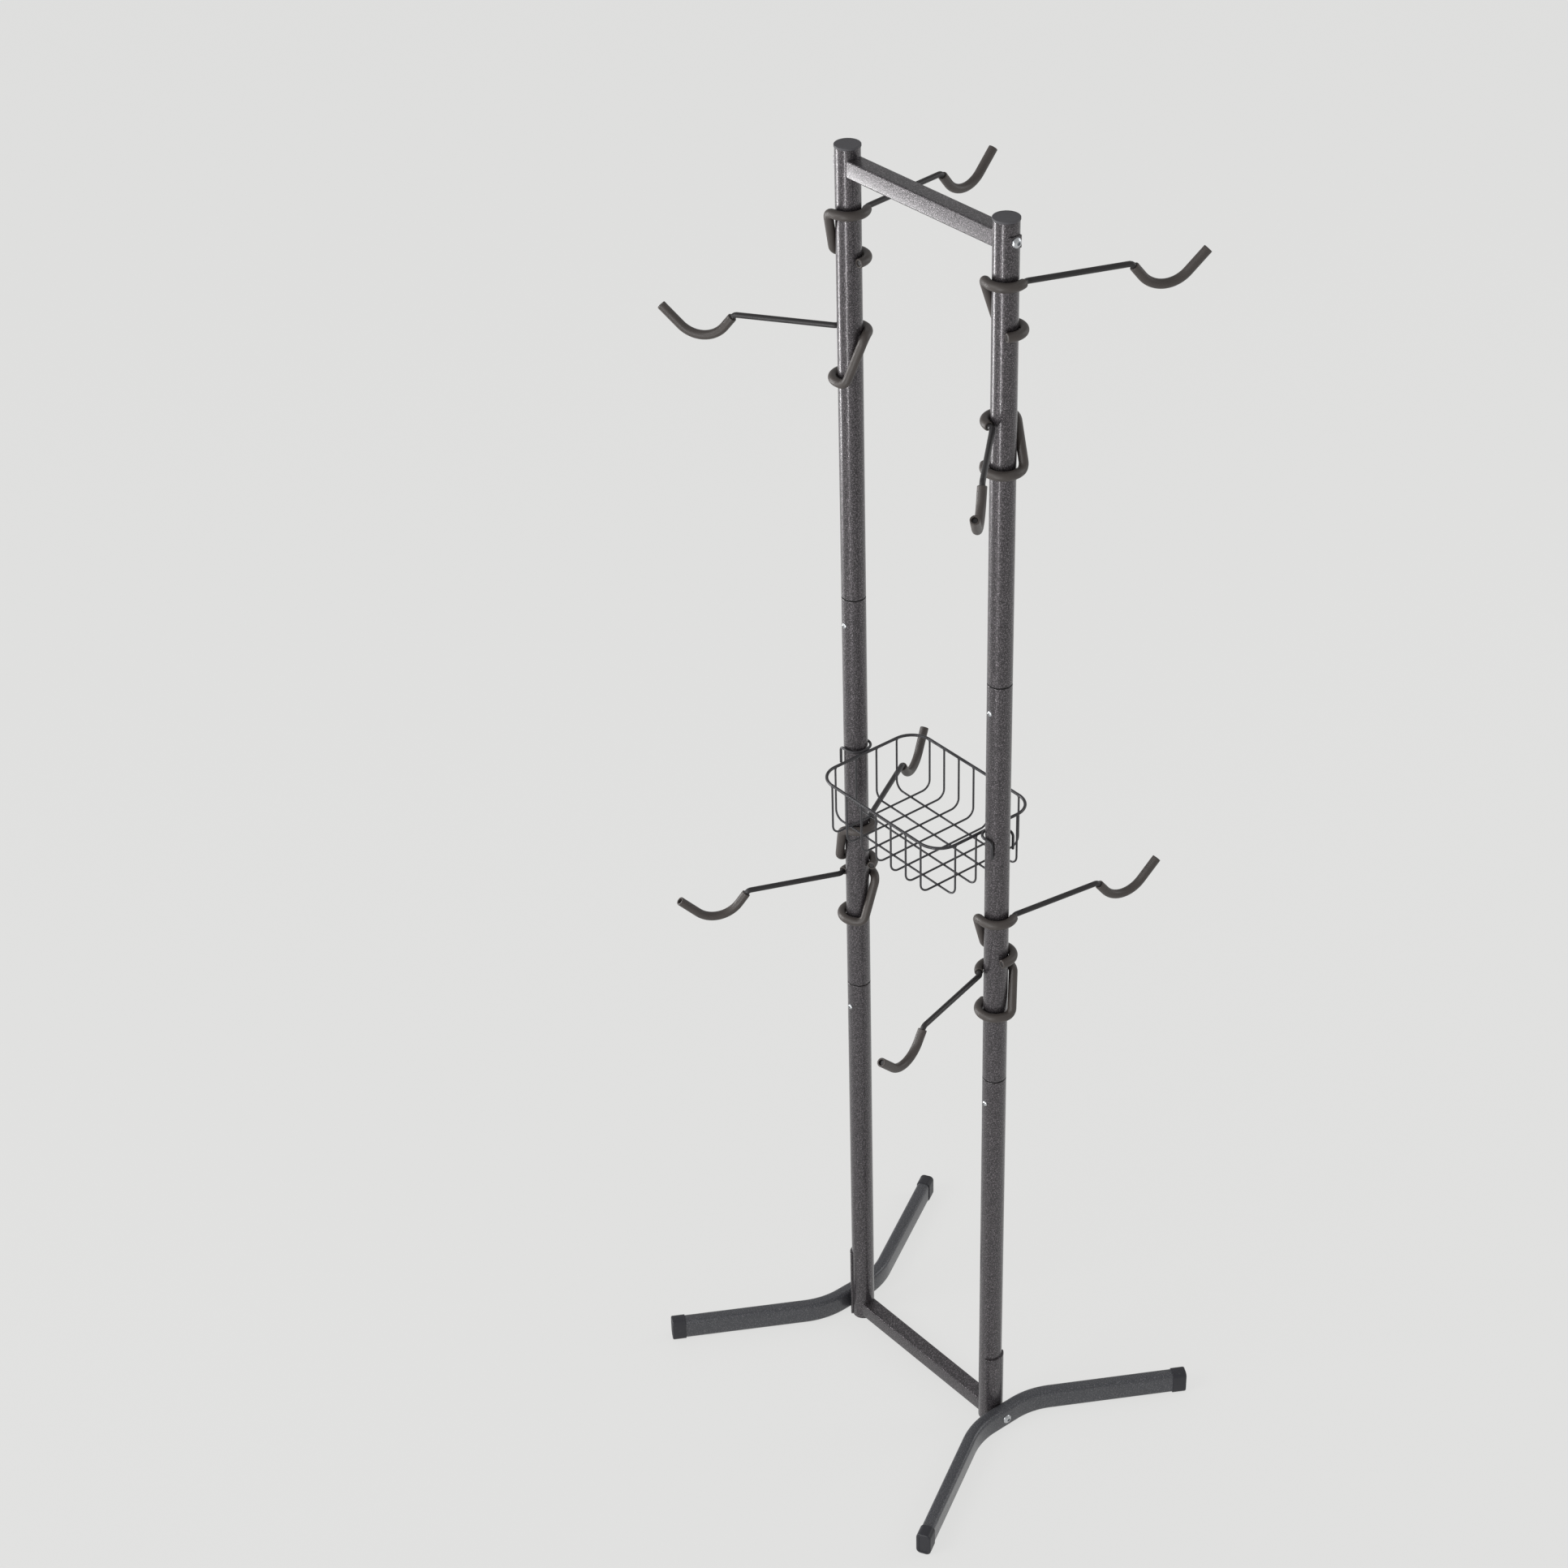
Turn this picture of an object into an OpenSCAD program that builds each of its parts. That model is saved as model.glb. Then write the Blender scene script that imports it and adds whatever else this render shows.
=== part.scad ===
/* [Posts] */
// Distance between the axes of the two posts
post_spacing = 306; // [290:1:340]
// Outside diameter of a post tube
post_d = 35; // [34:0.5:38]
// Wall thickness of a post tube
post_wall = 1.6; // [1.4:0.1:2]
// Length of each of the three sections of a post
section_len = 675; // [640:5:720]
// Length of the reduced end that slides into the section below
spigot_len = 70; // [60:1:90]
// Length of the cone where the tube is reduced to the spigot
swage_len = 8; // [5:1:15]
// Difference between the bore of a section and the spigot inside it
spigot_play = 0.4; // [0.3:0.1:0.6]
// Height of the cover plate of a post cap
cap_plate_h = 3.5; // [2:0.5:6]
// How far the cover plate of a post cap stands out past the tube
cap_plate_lip = 0.8; // [0.5:0.1:1.5]
// Rounding of the cover plate's upper edge
cap_plate_r = 1.2; // [0.5:0.1:1.5]
// Depth of the plug of a post cap inside the tube
cap_plug_h = 12; // [8:1:20]

/* [Crossbars] */
// Side of the square tube of a crossbar
bar_w = 25; // [20:1:30]
// Wall thickness of a crossbar
bar_wall = 1.5; // [1.2:0.1:2]
// Depth of the top crossbar's axis below the top of the posts
bar_drop = 26; // [22:1:40]
// Length of the threaded plug in each end of a crossbar
plug_len = 22; // [16:1:30]
// Distance from a post's axis to the plug in that end of a crossbar
plug_inset = 25; // [22:1:40]

/* [Legs] */
// Width of the leg tube, seen from above
leg_w = 20; // [18:1:24]
// Height of the leg tube
leg_h = 36; // [32:1:40]
// Corner rounding of the leg tube
leg_corner_r = 6; // [4:0.5:8]
// Wall thickness of the leg tube
leg_wall = 1.5; // [1.2:0.1:2]
// Distance of a leg's end from the plane of the posts
leg_reach = 273; // [240:1:300]
// Angle by which each half of a leg turns outwards
leg_splay = 30; // [20:1:35]
// Bend radius of a leg, on its centre line
leg_bend_r = 120; // [80:5:150]
// Distance from the middle of a leg to the corner that each bend rounds off
leg_corner_y = 56; // [50:1:70]
// Length of the black cap on the end of a leg
foot_len = 22; // [16:1:30]
// Wall of a leg cap round the tube, which also lifts the tube off the floor
foot_wall = 1.5; // [1:0.1:2]
// Thickness of the closed end of a leg cap
foot_end = 3; // [2:0.5:5]

/* [Saddles] */
// Thickness of the curved saddle plate between post and leg
saddle_wall = 3; // [2:0.5:4]
// Height of a saddle plate
saddle_h = 130; // [100:5:160]
// Angle that a saddle plate covers round its post
saddle_angle = 130; // [100:5:150]

/* [Fasteners] */
// Diameter of the frame bolts
bolt_d = 8; // [6:1:10]
// Play of a bolt in its holes
bolt_play = 0.4; // [0.3:0.1:1]
// Diameter of a frame bolt's head
bolt_head_d = 15; // [13:0.5:17]
// Height of a frame bolt's head
bolt_head_h = 4.5; // [3:0.5:6]
// Width across the flats of the key socket in a bolt's head
key_w = 5; // [4:0.5:6]
// Depth of the key socket
key_depth = 3; // [2:0.5:4]
// Depth of the bolt's tip inside the plug of a crossbar
bolt_bite = 18; // [12:1:20]
// Thickness of the washer under a top bolt at its thinnest
washer_min = 1.5; // [1:0.5:3]
// Side of the square washer under a top bolt
washer_w = 17; // [15:1:20]
// Diameter of the screws that lock the post sections together
screw_d = 4.2; // [3.5:0.1:5]
// Play of a screw in its holes
screw_play = 0.2; // [0.1:0.1:0.4]
// Diameter of a joint screw's head
screw_head_d = 8.6; // [7:0.1:10]
// Height of a joint screw's head
screw_head_h = 2.8; // [2:0.1:4]
// Length of a joint screw below its head
screw_len = 9; // [6:0.5:12]
// Width of the cross slot in a joint screw's head
slot_w = 1.1; // [0.8:0.1:1.5]
// Length of the cross slot in a joint screw's head
slot_len = 4.3; // [3:0.1:5]
// Depth of the cross slot in a joint screw's head
slot_depth = 1.4; // [1:0.1:2]
// Distance of a joint screw below the seam that it locks
screw_drop = 42; // [25:1:50]

/* [Hooks] */
// Diameter of the bent rod of a hook
rod_d = 8; // [7:0.5:10]
// Outside diameter of the soft sleeves on a hook
sleeve_d = 13; // [11:0.5:14]
// Free space between a hook's sleeve and its post
grip_play = 0.3; // [0.2:0.1:0.5]
// Height between the upper and the lower turn of a hook's grip
grip_drop = 68; // [60:1:80]
// Angle at which the rod leaves the upper turn, measured from the arm
grip_exit = 45; // [35:1:50]
// Straight length between the upper turn and the bend into the arm
exit_run = 3; // [1:0.5:6]
// Bend radius where the rod leaves the upper turn
exit_r = 10; // [8:0.5:12]
// Bend radius at the corners of the sloping part of the grip
slope_r = 12; // [10:0.5:13]
// Quarter of the angle that the sloping part of the grip takes round the post
slope_half = 30; // [25:1:35]
// How far the lower turn runs on past its last bend
grip_tail = 6; // [4:1:12]
// How far the grip's sleeve runs on past the end of the rod
grip_sleeve_past = 1; // [0.5:0.5:3]
// Distance from the post's axis to the end of a hook's straight arm
arm_len = 165; // [150:1:190]
// Bend radius where the arm drops into the cradle
arm_r = 8; // [8:0.5:12]
// Radius of the cradle on the rod's centre line
cradle_r = 42; // [34:1:50]
// Slope at which the rod goes down into the cradle
cradle_in = 52; // [45:1:60]
// Slope at which the rod rises out of the cradle
cradle_out = 45; // [40:1:55]
// Straight length between the arm and the cradle
cradle_in_len = 24; // [15:1:30]
// Straight length from the cradle to the tip
cradle_out_len = 38; // [25:1:45]
// Gap between the arm's bend and the start of the cradle's sleeve
cradle_sleeve_gap = 1; // [0:0.5:10]
// How far the rod ends short of its sleeve's open end
rod_recess = 4; // [1:0.5:6]

/* [Hook places] */
// How far the highest hook on the left post sits below the top of its tube
left_hook_1_drop = 88.5; // [81.5:0.5:126.5]
// Direction of that hook's arm, counted anticlockwise from the side of the right post
left_hook_1_turn = 96; // [90:1:180]
// How far the second hook on the left post sits below the top of its tube
left_hook_2_drop = 264.5; // [226.5:0.5:526.5]
// Direction of that hook's arm
left_hook_2_turn = 215; // [180:1:270]
// Height of the third hook on the left post
left_hook_3_z = 966; // [960:1:975]
// Direction of that hook's arm
left_hook_3_turn = 120; // [90:1:180]
// Height of the lowest hook on the left post
left_hook_4_z = 871; // [820:1:872]
// Direction of that hook's arm
left_hook_4_turn = 247; // [180:1:270]
// How far the highest hook on the right post sits below the top of its tube
right_hook_1_drop = 82.5; // [78.5:0.5:126.5]
// Direction of that hook's arm
right_hook_1_turn = 69; // [0:1:90]
// How far the second hook on the right post sits below the top of its tube
right_hook_2_drop = 279.5; // [226.5:0.5:526.5]
// Direction of that hook's arm
right_hook_2_turn = -47; // [-90:1:0]
// Height of the third hook on the right post
right_hook_3_z = 965; // [960:1:975]
// Direction of that hook's arm
right_hook_3_turn = 82; // [0:1:90]
// Height of the lowest hook on the right post
right_hook_4_z = 869; // [820:1:870]
// Direction of that hook's arm
right_hook_4_turn = -75; // [-90:1:0]

/* [Basket] */
// Free space between each post and the basket's rim
basket_gap = 3.5; // [2.5:0.25:3.5]
// Width of the basket's rim from front to back, over the wire
basket_w = 188; // [160:1:220]
// Height of the basket's rim above the floor
basket_z = 1100; // [1095:1:1120]
// Depth of the basket below its rim
basket_depth = 87; // [60:1:95]
// Corner radius of the rim on its centre line
rim_corner_r = 34; // [24:1:40]
// Diameter of the rim's wire
rim_d = 4.5; // [4:0.5:6]
// Diameter of the basket's thin wires
wire_d = 3; // [2.5:0.5:4]
// Bend radius of the thin wires
wire_r = 14; // [10:1:20]
// Number of wires that run from post to post
long_wires = 4; // [3:1:6]
// Number of wires that run from front to back
cross_wires = 7; // [5:1:9]
// Diameter of the hanger wires that grip the posts
hanger_d = 4; // [3.5:0.5:5]
// Bend radius where a hanger wire turns down
hanger_r = 6; // [5:0.5:8]
// Bend radius where a hanger wire goes round its post
hanger_wrap_r = 16; // [12:0.5:17]
// How far a hanger's prongs pass the axis of their post
prong_past = 10; // [5:1:20]
// Height of the turned-down end of a prong
prong_drop = 27; // [15:1:40]

/* [Hidden] */
$fn = 64;
// Overrun that cuts use past the faces that they leave
over = 1;
// Lengths under this count as nothing in a bent rod
tiny = 0.01;
// How much a rod thins in its bends, which leaves a fine step at each end of a bend
bend_slim = 0.04;
// Step of the corners and domes that are drawn as polygons
corner_step = 15;

floor_gap = foot_wall;
post_r = post_d / 2;
post_x = post_spacing / 2;
bore_r = post_r - post_wall;
spigot_r = bore_r - spigot_play / 2;
lower_seam_z = floor_gap + section_len;
upper_seam_z = lower_seam_z + section_len;
post_top_z = upper_seam_z + section_len;
lower_screw_z = lower_seam_z - screw_drop;
upper_screw_z = upper_seam_z - screw_drop;

saddle_r = post_r + saddle_wall;
leg_z = floor_gap + leg_h / 2;
leg_x = post_x + saddle_r + leg_w / 2;
leg_trim = leg_bend_r * tan(leg_splay / 2);
leg_straight = (leg_reach - leg_corner_y) / cos(leg_splay) - leg_trim - foot_end;
top_bar_z = post_top_z - bar_drop;
left_hook_1_z = post_top_z - left_hook_1_drop;
left_hook_2_z = post_top_z - left_hook_2_drop;
right_hook_1_z = post_top_z - right_hook_1_drop;
right_hook_2_z = post_top_z - right_hook_2_drop;
low_bar_z = leg_z;

sleeve_r = sleeve_d / 2;
grip_r = post_r + grip_play + sleeve_r;

HOOKS = [
    ["left_hook_1", -post_x, left_hook_1_z, left_hook_1_turn],
    ["left_hook_2", -post_x, left_hook_2_z, left_hook_2_turn],
    ["left_hook_3", -post_x, left_hook_3_z, left_hook_3_turn],
    ["left_hook_4", -post_x, left_hook_4_z, left_hook_4_turn],
    ["right_hook_1", post_x, right_hook_1_z, right_hook_1_turn],
    ["right_hook_2", post_x, right_hook_2_z, right_hook_2_turn],
    ["right_hook_3", post_x, right_hook_3_z, right_hook_3_turn],
    ["right_hook_4", post_x, right_hook_4_z, right_hook_4_turn]
];

SIDES = [["left", -1], ["right", 1]];
ENDS = [["front", -1], ["rear", 1]];

graphite = "#4b484c";
dark_grey = "#3f3e42";
black = "#1d1d1f";
rod_black = "#2a2928";
sleeve_brown = "#4a4540";
zinc = "#c4c5c6";

// Vector of length one along v
function unit(v) = v / norm(v);

// Angle through which a path turns at b on its way from a to c
function turn_at(a, b, c) = acos(unit(b - a) * unit(c - b));

// Length that a bend of radius r takes off each side of the corner b
function trim_at(a, b, c, r) = r * tan(turn_at(a, b, c) / 2);

// Trim at corner i of a path, nothing at its two ends
function path_trim(path, radii, i) =
    i == 0 || i == len(path) - 1 ? 0 : trim_at(path[i - 1], path[i], path[i + 1], radii[i - 1]);

// Round section of a rod, or a ring when it has a bore
module rod_section(d, bore) {
    difference() {
        circle(d = d);
        if (bore > 0)
            circle(d = bore);
    }
}

// Puts its children at the end of a bend that leaves the origin along +Z and curves towards +X
module after_bend(r, angle) {
    translate([r, 0, 0])
        rotate([0, angle, 0])
            translate([-r, 0, 0])
                children();
}

// The bend itself: a half ring, cut off square where the next straight begins
module rod_bend(r, angle, d, bore) {
    difference() {
        translate([r, 0, 0])
            rotate([90, 0, 0])
                rotate_extrude(angle = 180)
                    translate([r, 0])
                        rod_section(d - bend_slim, bore > 0 ? bore + bend_slim : 0);
        after_bend(r, angle)
            translate([-d, -d, 0])
                cube([2 * r + 2 * d, 2 * d, r + d]);
    }
}

// Rest of a rod from corner i on. Each straight and bend is drawn where the one before ends,
// heading along +Z, and side is the direction of the +X axis there.
module rod_run(path, radii, i, side, d, bore) {
    heading = unit(path[i + 1] - path[i]);
    length = norm(path[i + 1] - path[i]) - path_trim(path, radii, i) - path_trim(path, radii, i + 1);
    if (length > tiny)
        linear_extrude(height = length)
            rod_section(d, bore);
    if (i + 2 < len(path)) {
        next = unit(path[i + 2] - path[i + 1]);
        inward = unit(next - (next * heading) * heading);
        roll = atan2(cross(side, inward) * heading, side * inward);
        angle = turn_at(path[i], path[i + 1], path[i + 2]);
        translate([0, 0, length > tiny ? length : 0])
            rotate([0, 0, roll]) {
                rod_bend(radii[i], angle, d, bore);
                after_bend(radii[i], angle)
                    rod_run(path, radii, i + 1, cos(angle) * inward - sin(angle) * heading, d, bore);
            }
    }
}

// Rod bent along a path of corners, with one radius for each inner corner
module bent_rod(path, radii, d, bore = 0) {
    v = path[1] - path[0];
    tilt = acos(v.z / norm(v));
    bearing = atan2(v.y, v.x);
    side = [cos(tilt) * cos(bearing), cos(tilt) * sin(bearing), -sin(tilt)];
    translate(path[0])
        rotate([0, tilt, bearing])
            rod_run(path, radii, 0, side, d, bore);
}

// Cylinder along +X from x0, on the height z
module bolt_hole(x0, length, z, d) {
    translate([x0, 0, z])
        rotate([0, 90, 0])
            cylinder(d = d, h = length);
}

// Hole for a joint screw in the front wall of a post, on the height z
module screw_hole(z) {
    translate([0, 0, z])
        rotate([90, 0, 0])
            cylinder(d = screw_d + screw_play, h = post_d);
}

// Profile of a section with a spigot under it, from the seam at height 0 up
module spigot_section(length) {
    rotate_extrude()
        polygon([
            [spigot_r - post_wall, -spigot_len],
            [spigot_r, -spigot_len],
            [spigot_r, 0],
            [post_r, 0],
            [post_r, length],
            [bore_r, length],
            [bore_r, swage_len],
            [spigot_r - post_wall, 0]
        ]);
}

// Lowest section of a post, drilled for the leg bolt and for its joint screw
module post_lower() {
    color(graphite)
        difference() {
            translate([0, 0, floor_gap])
                cylinder(r = post_r, h = section_len);
            translate([0, 0, floor_gap - over])
                cylinder(r = bore_r, h = section_len + 2 * over);
            bolt_hole(-post_r - over, post_d + 2 * over, low_bar_z, bolt_d + bolt_play);
            screw_hole(lower_screw_z);
        }
}

// Middle section of a post, screwed into the lowest one
module post_middle() {
    color(graphite)
        difference() {
            translate([0, 0, lower_seam_z])
                spigot_section(section_len);
            screw_hole(lower_screw_z);
            screw_hole(upper_screw_z);
        }
}

// Highest section of a post, drilled for the top bolt
module post_upper() {
    color(graphite)
        difference() {
            translate([0, 0, upper_seam_z])
                spigot_section(section_len);
            screw_hole(upper_screw_z);
            bolt_hole(-post_r - over, post_d + 2 * over, top_bar_z, bolt_d + bolt_play);
        }
}

// Flat plastic cap with its plug in the open top of a post
module post_cap() {
    plate_r = post_r + cap_plate_lip;
    color(dark_grey)
        translate([0, 0, post_top_z])
            rotate_extrude()
                union() {
                    translate([0, -cap_plug_h])
                        square([bore_r, cap_plug_h]);
                    square([plate_r, cap_plate_h - cap_plate_r]);
                    square([plate_r - cap_plate_r, cap_plate_h]);
                    translate([plate_r - cap_plate_r, cap_plate_h - cap_plate_r])
                        intersection() {
                            circle(r = cap_plate_r);
                            square(cap_plate_r);
                        }
                }
}

// Square tube between the posts, its ends cut round to fit them
module crossbar(z) {
    color(graphite)
        difference() {
            translate([-post_x, -bar_w / 2, z - bar_w / 2])
                cube([post_spacing, bar_w, bar_w]);
            translate([-post_x - over, -bar_w / 2 + bar_wall, z - bar_w / 2 + bar_wall])
                cube([post_spacing + 2 * over, bar_w - 2 * bar_wall, bar_w - 2 * bar_wall]);
            for (x = [-post_x, post_x])
                translate([x, 0, z - bar_w])
                    cylinder(r = post_r, h = 2 * bar_w);
        }
}

// Threaded plugs in both ends of a crossbar, which take the frame bolts
module bar_plugs(z) {
    plug_w = bar_w - 2 * bar_wall;
    plug_x = post_x - plug_inset;
    color(zinc)
        for (s = [-1, 1])
            difference() {
                translate([s * (plug_x - plug_len / 2), 0, z])
                    cube([plug_len, plug_w, plug_w], center = true);
                bolt_hole(s * plug_x - plug_len - over, 2 * (plug_len + over), z, bolt_d);
            }
}

// Curved plate on the outer side of a post, which the leg bears on
module saddle() {
    color(graphite)
        translate([0, 0, floor_gap])
            difference() {
                rotate([0, 0, -saddle_angle / 2])
                    rotate_extrude(angle = saddle_angle)
                        translate([post_r, 0])
                            square([saddle_wall, saddle_h]);
                bolt_hole(0, post_d, low_bar_z - floor_gap, bolt_d + bolt_play);
            }
}

// Rounded rectangle about the origin, its corners drawn in short steps
module rounded_section(w, h, r) {
    polygon([
        for (quarter = [0 : 3], a = [0 : corner_step : 90])
            [
                (quarter == 0 || quarter == 3 ? 1 : -1) * (w / 2 - r) + r * cos(90 * quarter + a),
                (quarter < 2 ? 1 : -1) * (h / 2 - r) + r * sin(90 * quarter + a)
            ]
    ]);
}

// Section of the leg tube
module leg_section() {
    difference() {
        rounded_section(leg_w, leg_h, leg_corner_r);
        rounded_section(leg_w - 2 * leg_wall, leg_h - 2 * leg_wall, leg_corner_r - leg_wall);
    }
}

// Puts its children where the rear bend of a leg starts
module at_leg_bend() {
    translate([leg_x, leg_corner_y - leg_trim, leg_z])
        children();
}

// Puts its children at the end of that bend, to run on along +Z
module at_leg_end() {
    at_leg_bend()
        translate([leg_bend_r, 0, 0])
            rotate([0, 0, -leg_splay])
                translate([-leg_bend_r, 0, 0])
                    rotate([-90, 0, 0])
                        children();
}

// Bend and straight end of a leg's rear half
module leg_half() {
    difference() {
        at_leg_bend()
            translate([leg_bend_r, 0, 0])
                rotate([0, 0, 90])
                    rotate_extrude(angle = 90)
                        translate([leg_bend_r, 0])
                            leg_section();
        at_leg_end()
            translate([-leg_w, -leg_h, 0])
                cube([leg_bend_r + 2 * leg_w, 2 * leg_h, 2 * leg_bend_r]);
    }
    at_leg_end()
        linear_extrude(height = leg_straight)
            leg_section();
}

// Leg on the right post, one bent tube drilled across its middle for the bolt
module leg() {
    middle = 2 * (leg_corner_y - leg_trim);
    color(dark_grey) {
        difference() {
            translate([leg_x, middle / 2, leg_z])
                rotate([90, 0, 0])
                    linear_extrude(height = middle)
                        leg_section();
            bolt_hole(leg_x - leg_w, 2 * leg_w, leg_z, bolt_d + bolt_play);
        }
        leg_half();
        mirror([0, 1, 0])
            leg_half();
    }
}

// Cap over the rear end of the leg on the right post
module foot() {
    w = leg_w + 2 * foot_wall;
    h = leg_h + 2 * foot_wall;
    color(black)
        at_leg_end()
            translate([0, 0, leg_straight + foot_end - foot_len])
                difference() {
                    linear_extrude(height = foot_len)
                        rounded_section(w, h, leg_corner_r + foot_wall);
                    translate([0, 0, -over])
                        linear_extrude(height = foot_len - foot_end + over)
                            rounded_section(leg_w, leg_h, leg_corner_r);
                }
}

// Button-head bolt along -X with its seat at the origin
module frame_bolt(length) {
    color(zinc) {
        difference() {
            rotate([0, 90, 0])
                rotate_extrude()
                    polygon(concat(
                        [[0, 0], [bolt_head_d / 2, 0]],
                        [for (a = [0 : corner_step : 90 - corner_step])
                            [bolt_head_d / 2 * cos(a), bolt_head_h * sin(a)]],
                        [[0, bolt_head_h]]
                    ));
            translate([bolt_head_h - key_depth, 0, 0])
                rotate([0, 90, 0])
                    cylinder(d = key_w / cos(30), h = key_depth + over, $fn = 6);
        }
        translate([-length, 0, 0])
            rotate([0, 90, 0])
                cylinder(d = bolt_d, h = length);
    }
}

// Bolt through a leg, its saddle and the post into the bottom crossbar
module leg_bolt() {
    seat_x = leg_x + leg_w / 2;
    translate([seat_x, 0, leg_z])
        frame_bolt(seat_x - (post_x - plug_inset - bolt_bite));
}

// Bolt through a washer and the post into the top crossbar
module top_bolt() {
    seat_x = post_x + post_r + washer_min;
    translate([seat_x, 0, top_bar_z])
        frame_bolt(seat_x - (post_x - plug_inset - bolt_bite));
}

// Square washer between the round post and a top bolt's flat seat
module top_washer() {
    color(black)
        difference() {
            translate([post_x, -washer_w / 2, top_bar_z - washer_w / 2])
                cube([post_r + washer_min, washer_w, washer_w]);
            translate([post_x, 0, top_bar_z - washer_w])
                cylinder(r = post_r, h = 2 * washer_w);
            bolt_hole(post_x, post_d, top_bar_z, bolt_d + bolt_play);
        }
}

// Cross-head screw in the front of a post, on the height z
module joint_screw(z) {
    color(zinc)
        translate([0, -post_r, z])
            rotate([90, 0, 0]) {
                translate([0, 0, -screw_len])
                    cylinder(d = screw_d, h = screw_len);
                difference() {
                    rotate_extrude()
                        polygon(concat(
                            [[0, 0]],
                            [for (a = [0 : corner_step : 90])
                                [screw_head_d / 2 * cos(a), screw_head_h * sin(a)]]
                        ));
                    for (a = [0, 90])
                        rotate([0, 0, a])
                            translate([-slot_len / 2, -slot_w / 2, screw_head_h - slot_depth])
                                cube([slot_len, slot_w, slot_depth + over]);
                }
            }
}

// Corner outside a turn of a hook's grip, on a bearing round the post: the straight runs that
// touch the turn half an opening before and after that bearing meet there
function grip_corner(bearing, half_open, z) =
    [grip_r / cos(half_open) * cos(bearing), grip_r / cos(half_open) * sin(bearing), z];

// Bearings count from the arm and fall clockwise round the post, down the grip.
// The upper turn ends a half turn from the arm and the lower one a quarter turn short of it again.
upper_half = (180 - grip_exit) / 2;
lower_half = (450 - 180 - 4 * slope_half) / 2;
GRIP_START = [grip_r * cos(-grip_exit), grip_r * sin(-grip_exit), 0];
GRIP_CORNERS = [
    grip_corner(-grip_exit - upper_half, upper_half, 0),
    grip_corner(-180 - slope_half, slope_half, 0),
    grip_corner(-180 - 3 * slope_half, slope_half, -grip_drop),
    grip_corner(-450 + lower_half, lower_half, -grip_drop)
];
GRIP_RADII = [grip_r, slope_r, slope_r, grip_r];

// Point past the end of the lower turn, on the side that the arm leaves from
function grip_end(tail) = [-tail, -grip_r, -grip_drop];

// The rod leaves the upper turn straight, then bends outwards into the arm beside the post's axis
exit_heading = [sin(grip_exit), cos(grip_exit), 0];
exit_corner = GRIP_START + (exit_run + exit_r * tan((90 - grip_exit) / 2)) * exit_heading;

arm_end = [arm_len, exit_corner.y, 0];
cradle_trim = cradle_r * tan((cradle_in + cradle_out) / 2);
down = [cos(cradle_in), 0, -sin(cradle_in)];
rise = [cos(cradle_out), 0, sin(cradle_out)];
cradle_corner = arm_end + down * (cradle_in_len + cradle_trim);
hook_tip = cradle_corner + rise * (cradle_trim + cradle_out_len);
sleeve_start = arm_end + down * (arm_r * tan(cradle_in / 2) + cradle_sleeve_gap);

// Steel rod of a hook, its arm pointing along +X from a post at the origin
module hook_rod() {
    color(rod_black)
        bent_rod(
            concat(
                [hook_tip - rise * rod_recess, cradle_corner, arm_end, exit_corner],
                GRIP_CORNERS,
                [grip_end(grip_tail)]
            ),
            concat([cradle_r, arm_r, exit_r], GRIP_RADII),
            rod_d
        );
}

// Soft sleeve on the turns that grip the post
module hook_grip() {
    color(sleeve_brown)
        bent_rod(
            concat([GRIP_START], GRIP_CORNERS, [grip_end(grip_tail + grip_sleeve_past)]),
            GRIP_RADII,
            sleeve_d,
            rod_d
        );
}

// Soft sleeve on the cradle that carries the load
module hook_cradle() {
    color(sleeve_brown)
        bent_rod([sleeve_start, cradle_corner, hook_tip], [cradle_r], sleeve_d, rod_d);
}

// Puts its children on the place of hook h
module at_hook(h) {
    translate([h[1], 0, h[2]])
        rotate([0, 0, h[3]])
            children();
}

rim_x = post_x - post_r - basket_gap - rim_d / 2;
rim_y = basket_w / 2 - rim_d / 2;

// Rounded rectangle of wire round the mouth of the basket
module basket_rim() {
    color(dark_grey)
        translate([0, 0, basket_z]) {
            for (s = [-1, 1]) {
                translate([-rim_x + rim_corner_r, s * rim_y, 0])
                    rotate([0, 90, 0])
                        cylinder(d = rim_d, h = 2 * (rim_x - rim_corner_r));
                translate([s * rim_x, rim_y - rim_corner_r, 0])
                    rotate([90, 0, 0])
                        cylinder(d = rim_d, h = 2 * (rim_y - rim_corner_r));
            }
            for (a = [0 : 90 : 270])
                translate([
                    (a == 0 || a == 270 ? 1 : -1) * (rim_x - rim_corner_r),
                    (a < 180 ? 1 : -1) * (rim_y - rim_corner_r),
                    0
                ])
                    rotate([0, 0, a])
                        rotate_extrude(angle = 90)
                            translate([rim_corner_r, 0])
                                circle(d = rim_d);
        }
}

// Wire that hangs from the rim as a U, half_span to each side, along +X
module basket_wire(half_span, depth) {
    top = -rim_d / 2;
    bent_rod(
        [[-half_span, 0, top], [-half_span, 0, -depth], [half_span, 0, -depth], [half_span, 0, top]],
        [wire_r, wire_r],
        wire_d
    );
}

// Wires from post to post, under the ones that cross them
module basket_long_wires() {
    pitch = 2 * (rim_y - rim_corner_r) / (long_wires - 1);
    color(dark_grey)
        for (i = [0 : long_wires - 1])
            translate([0, rim_corner_r - rim_y + i * pitch, basket_z])
                basket_wire(rim_x, basket_depth);
}

// Wires from front to back, lying on the ones from post to post
module basket_cross_wires() {
    pitch = 2 * (rim_x - rim_corner_r) / (cross_wires - 1);
    color(dark_grey)
        for (i = [0 : cross_wires - 1])
            translate([rim_corner_r - rim_x + i * pitch, 0, basket_z])
                rotate([0, 0, 90])
                    basket_wire(rim_y, basket_depth - wire_d);
}

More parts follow.
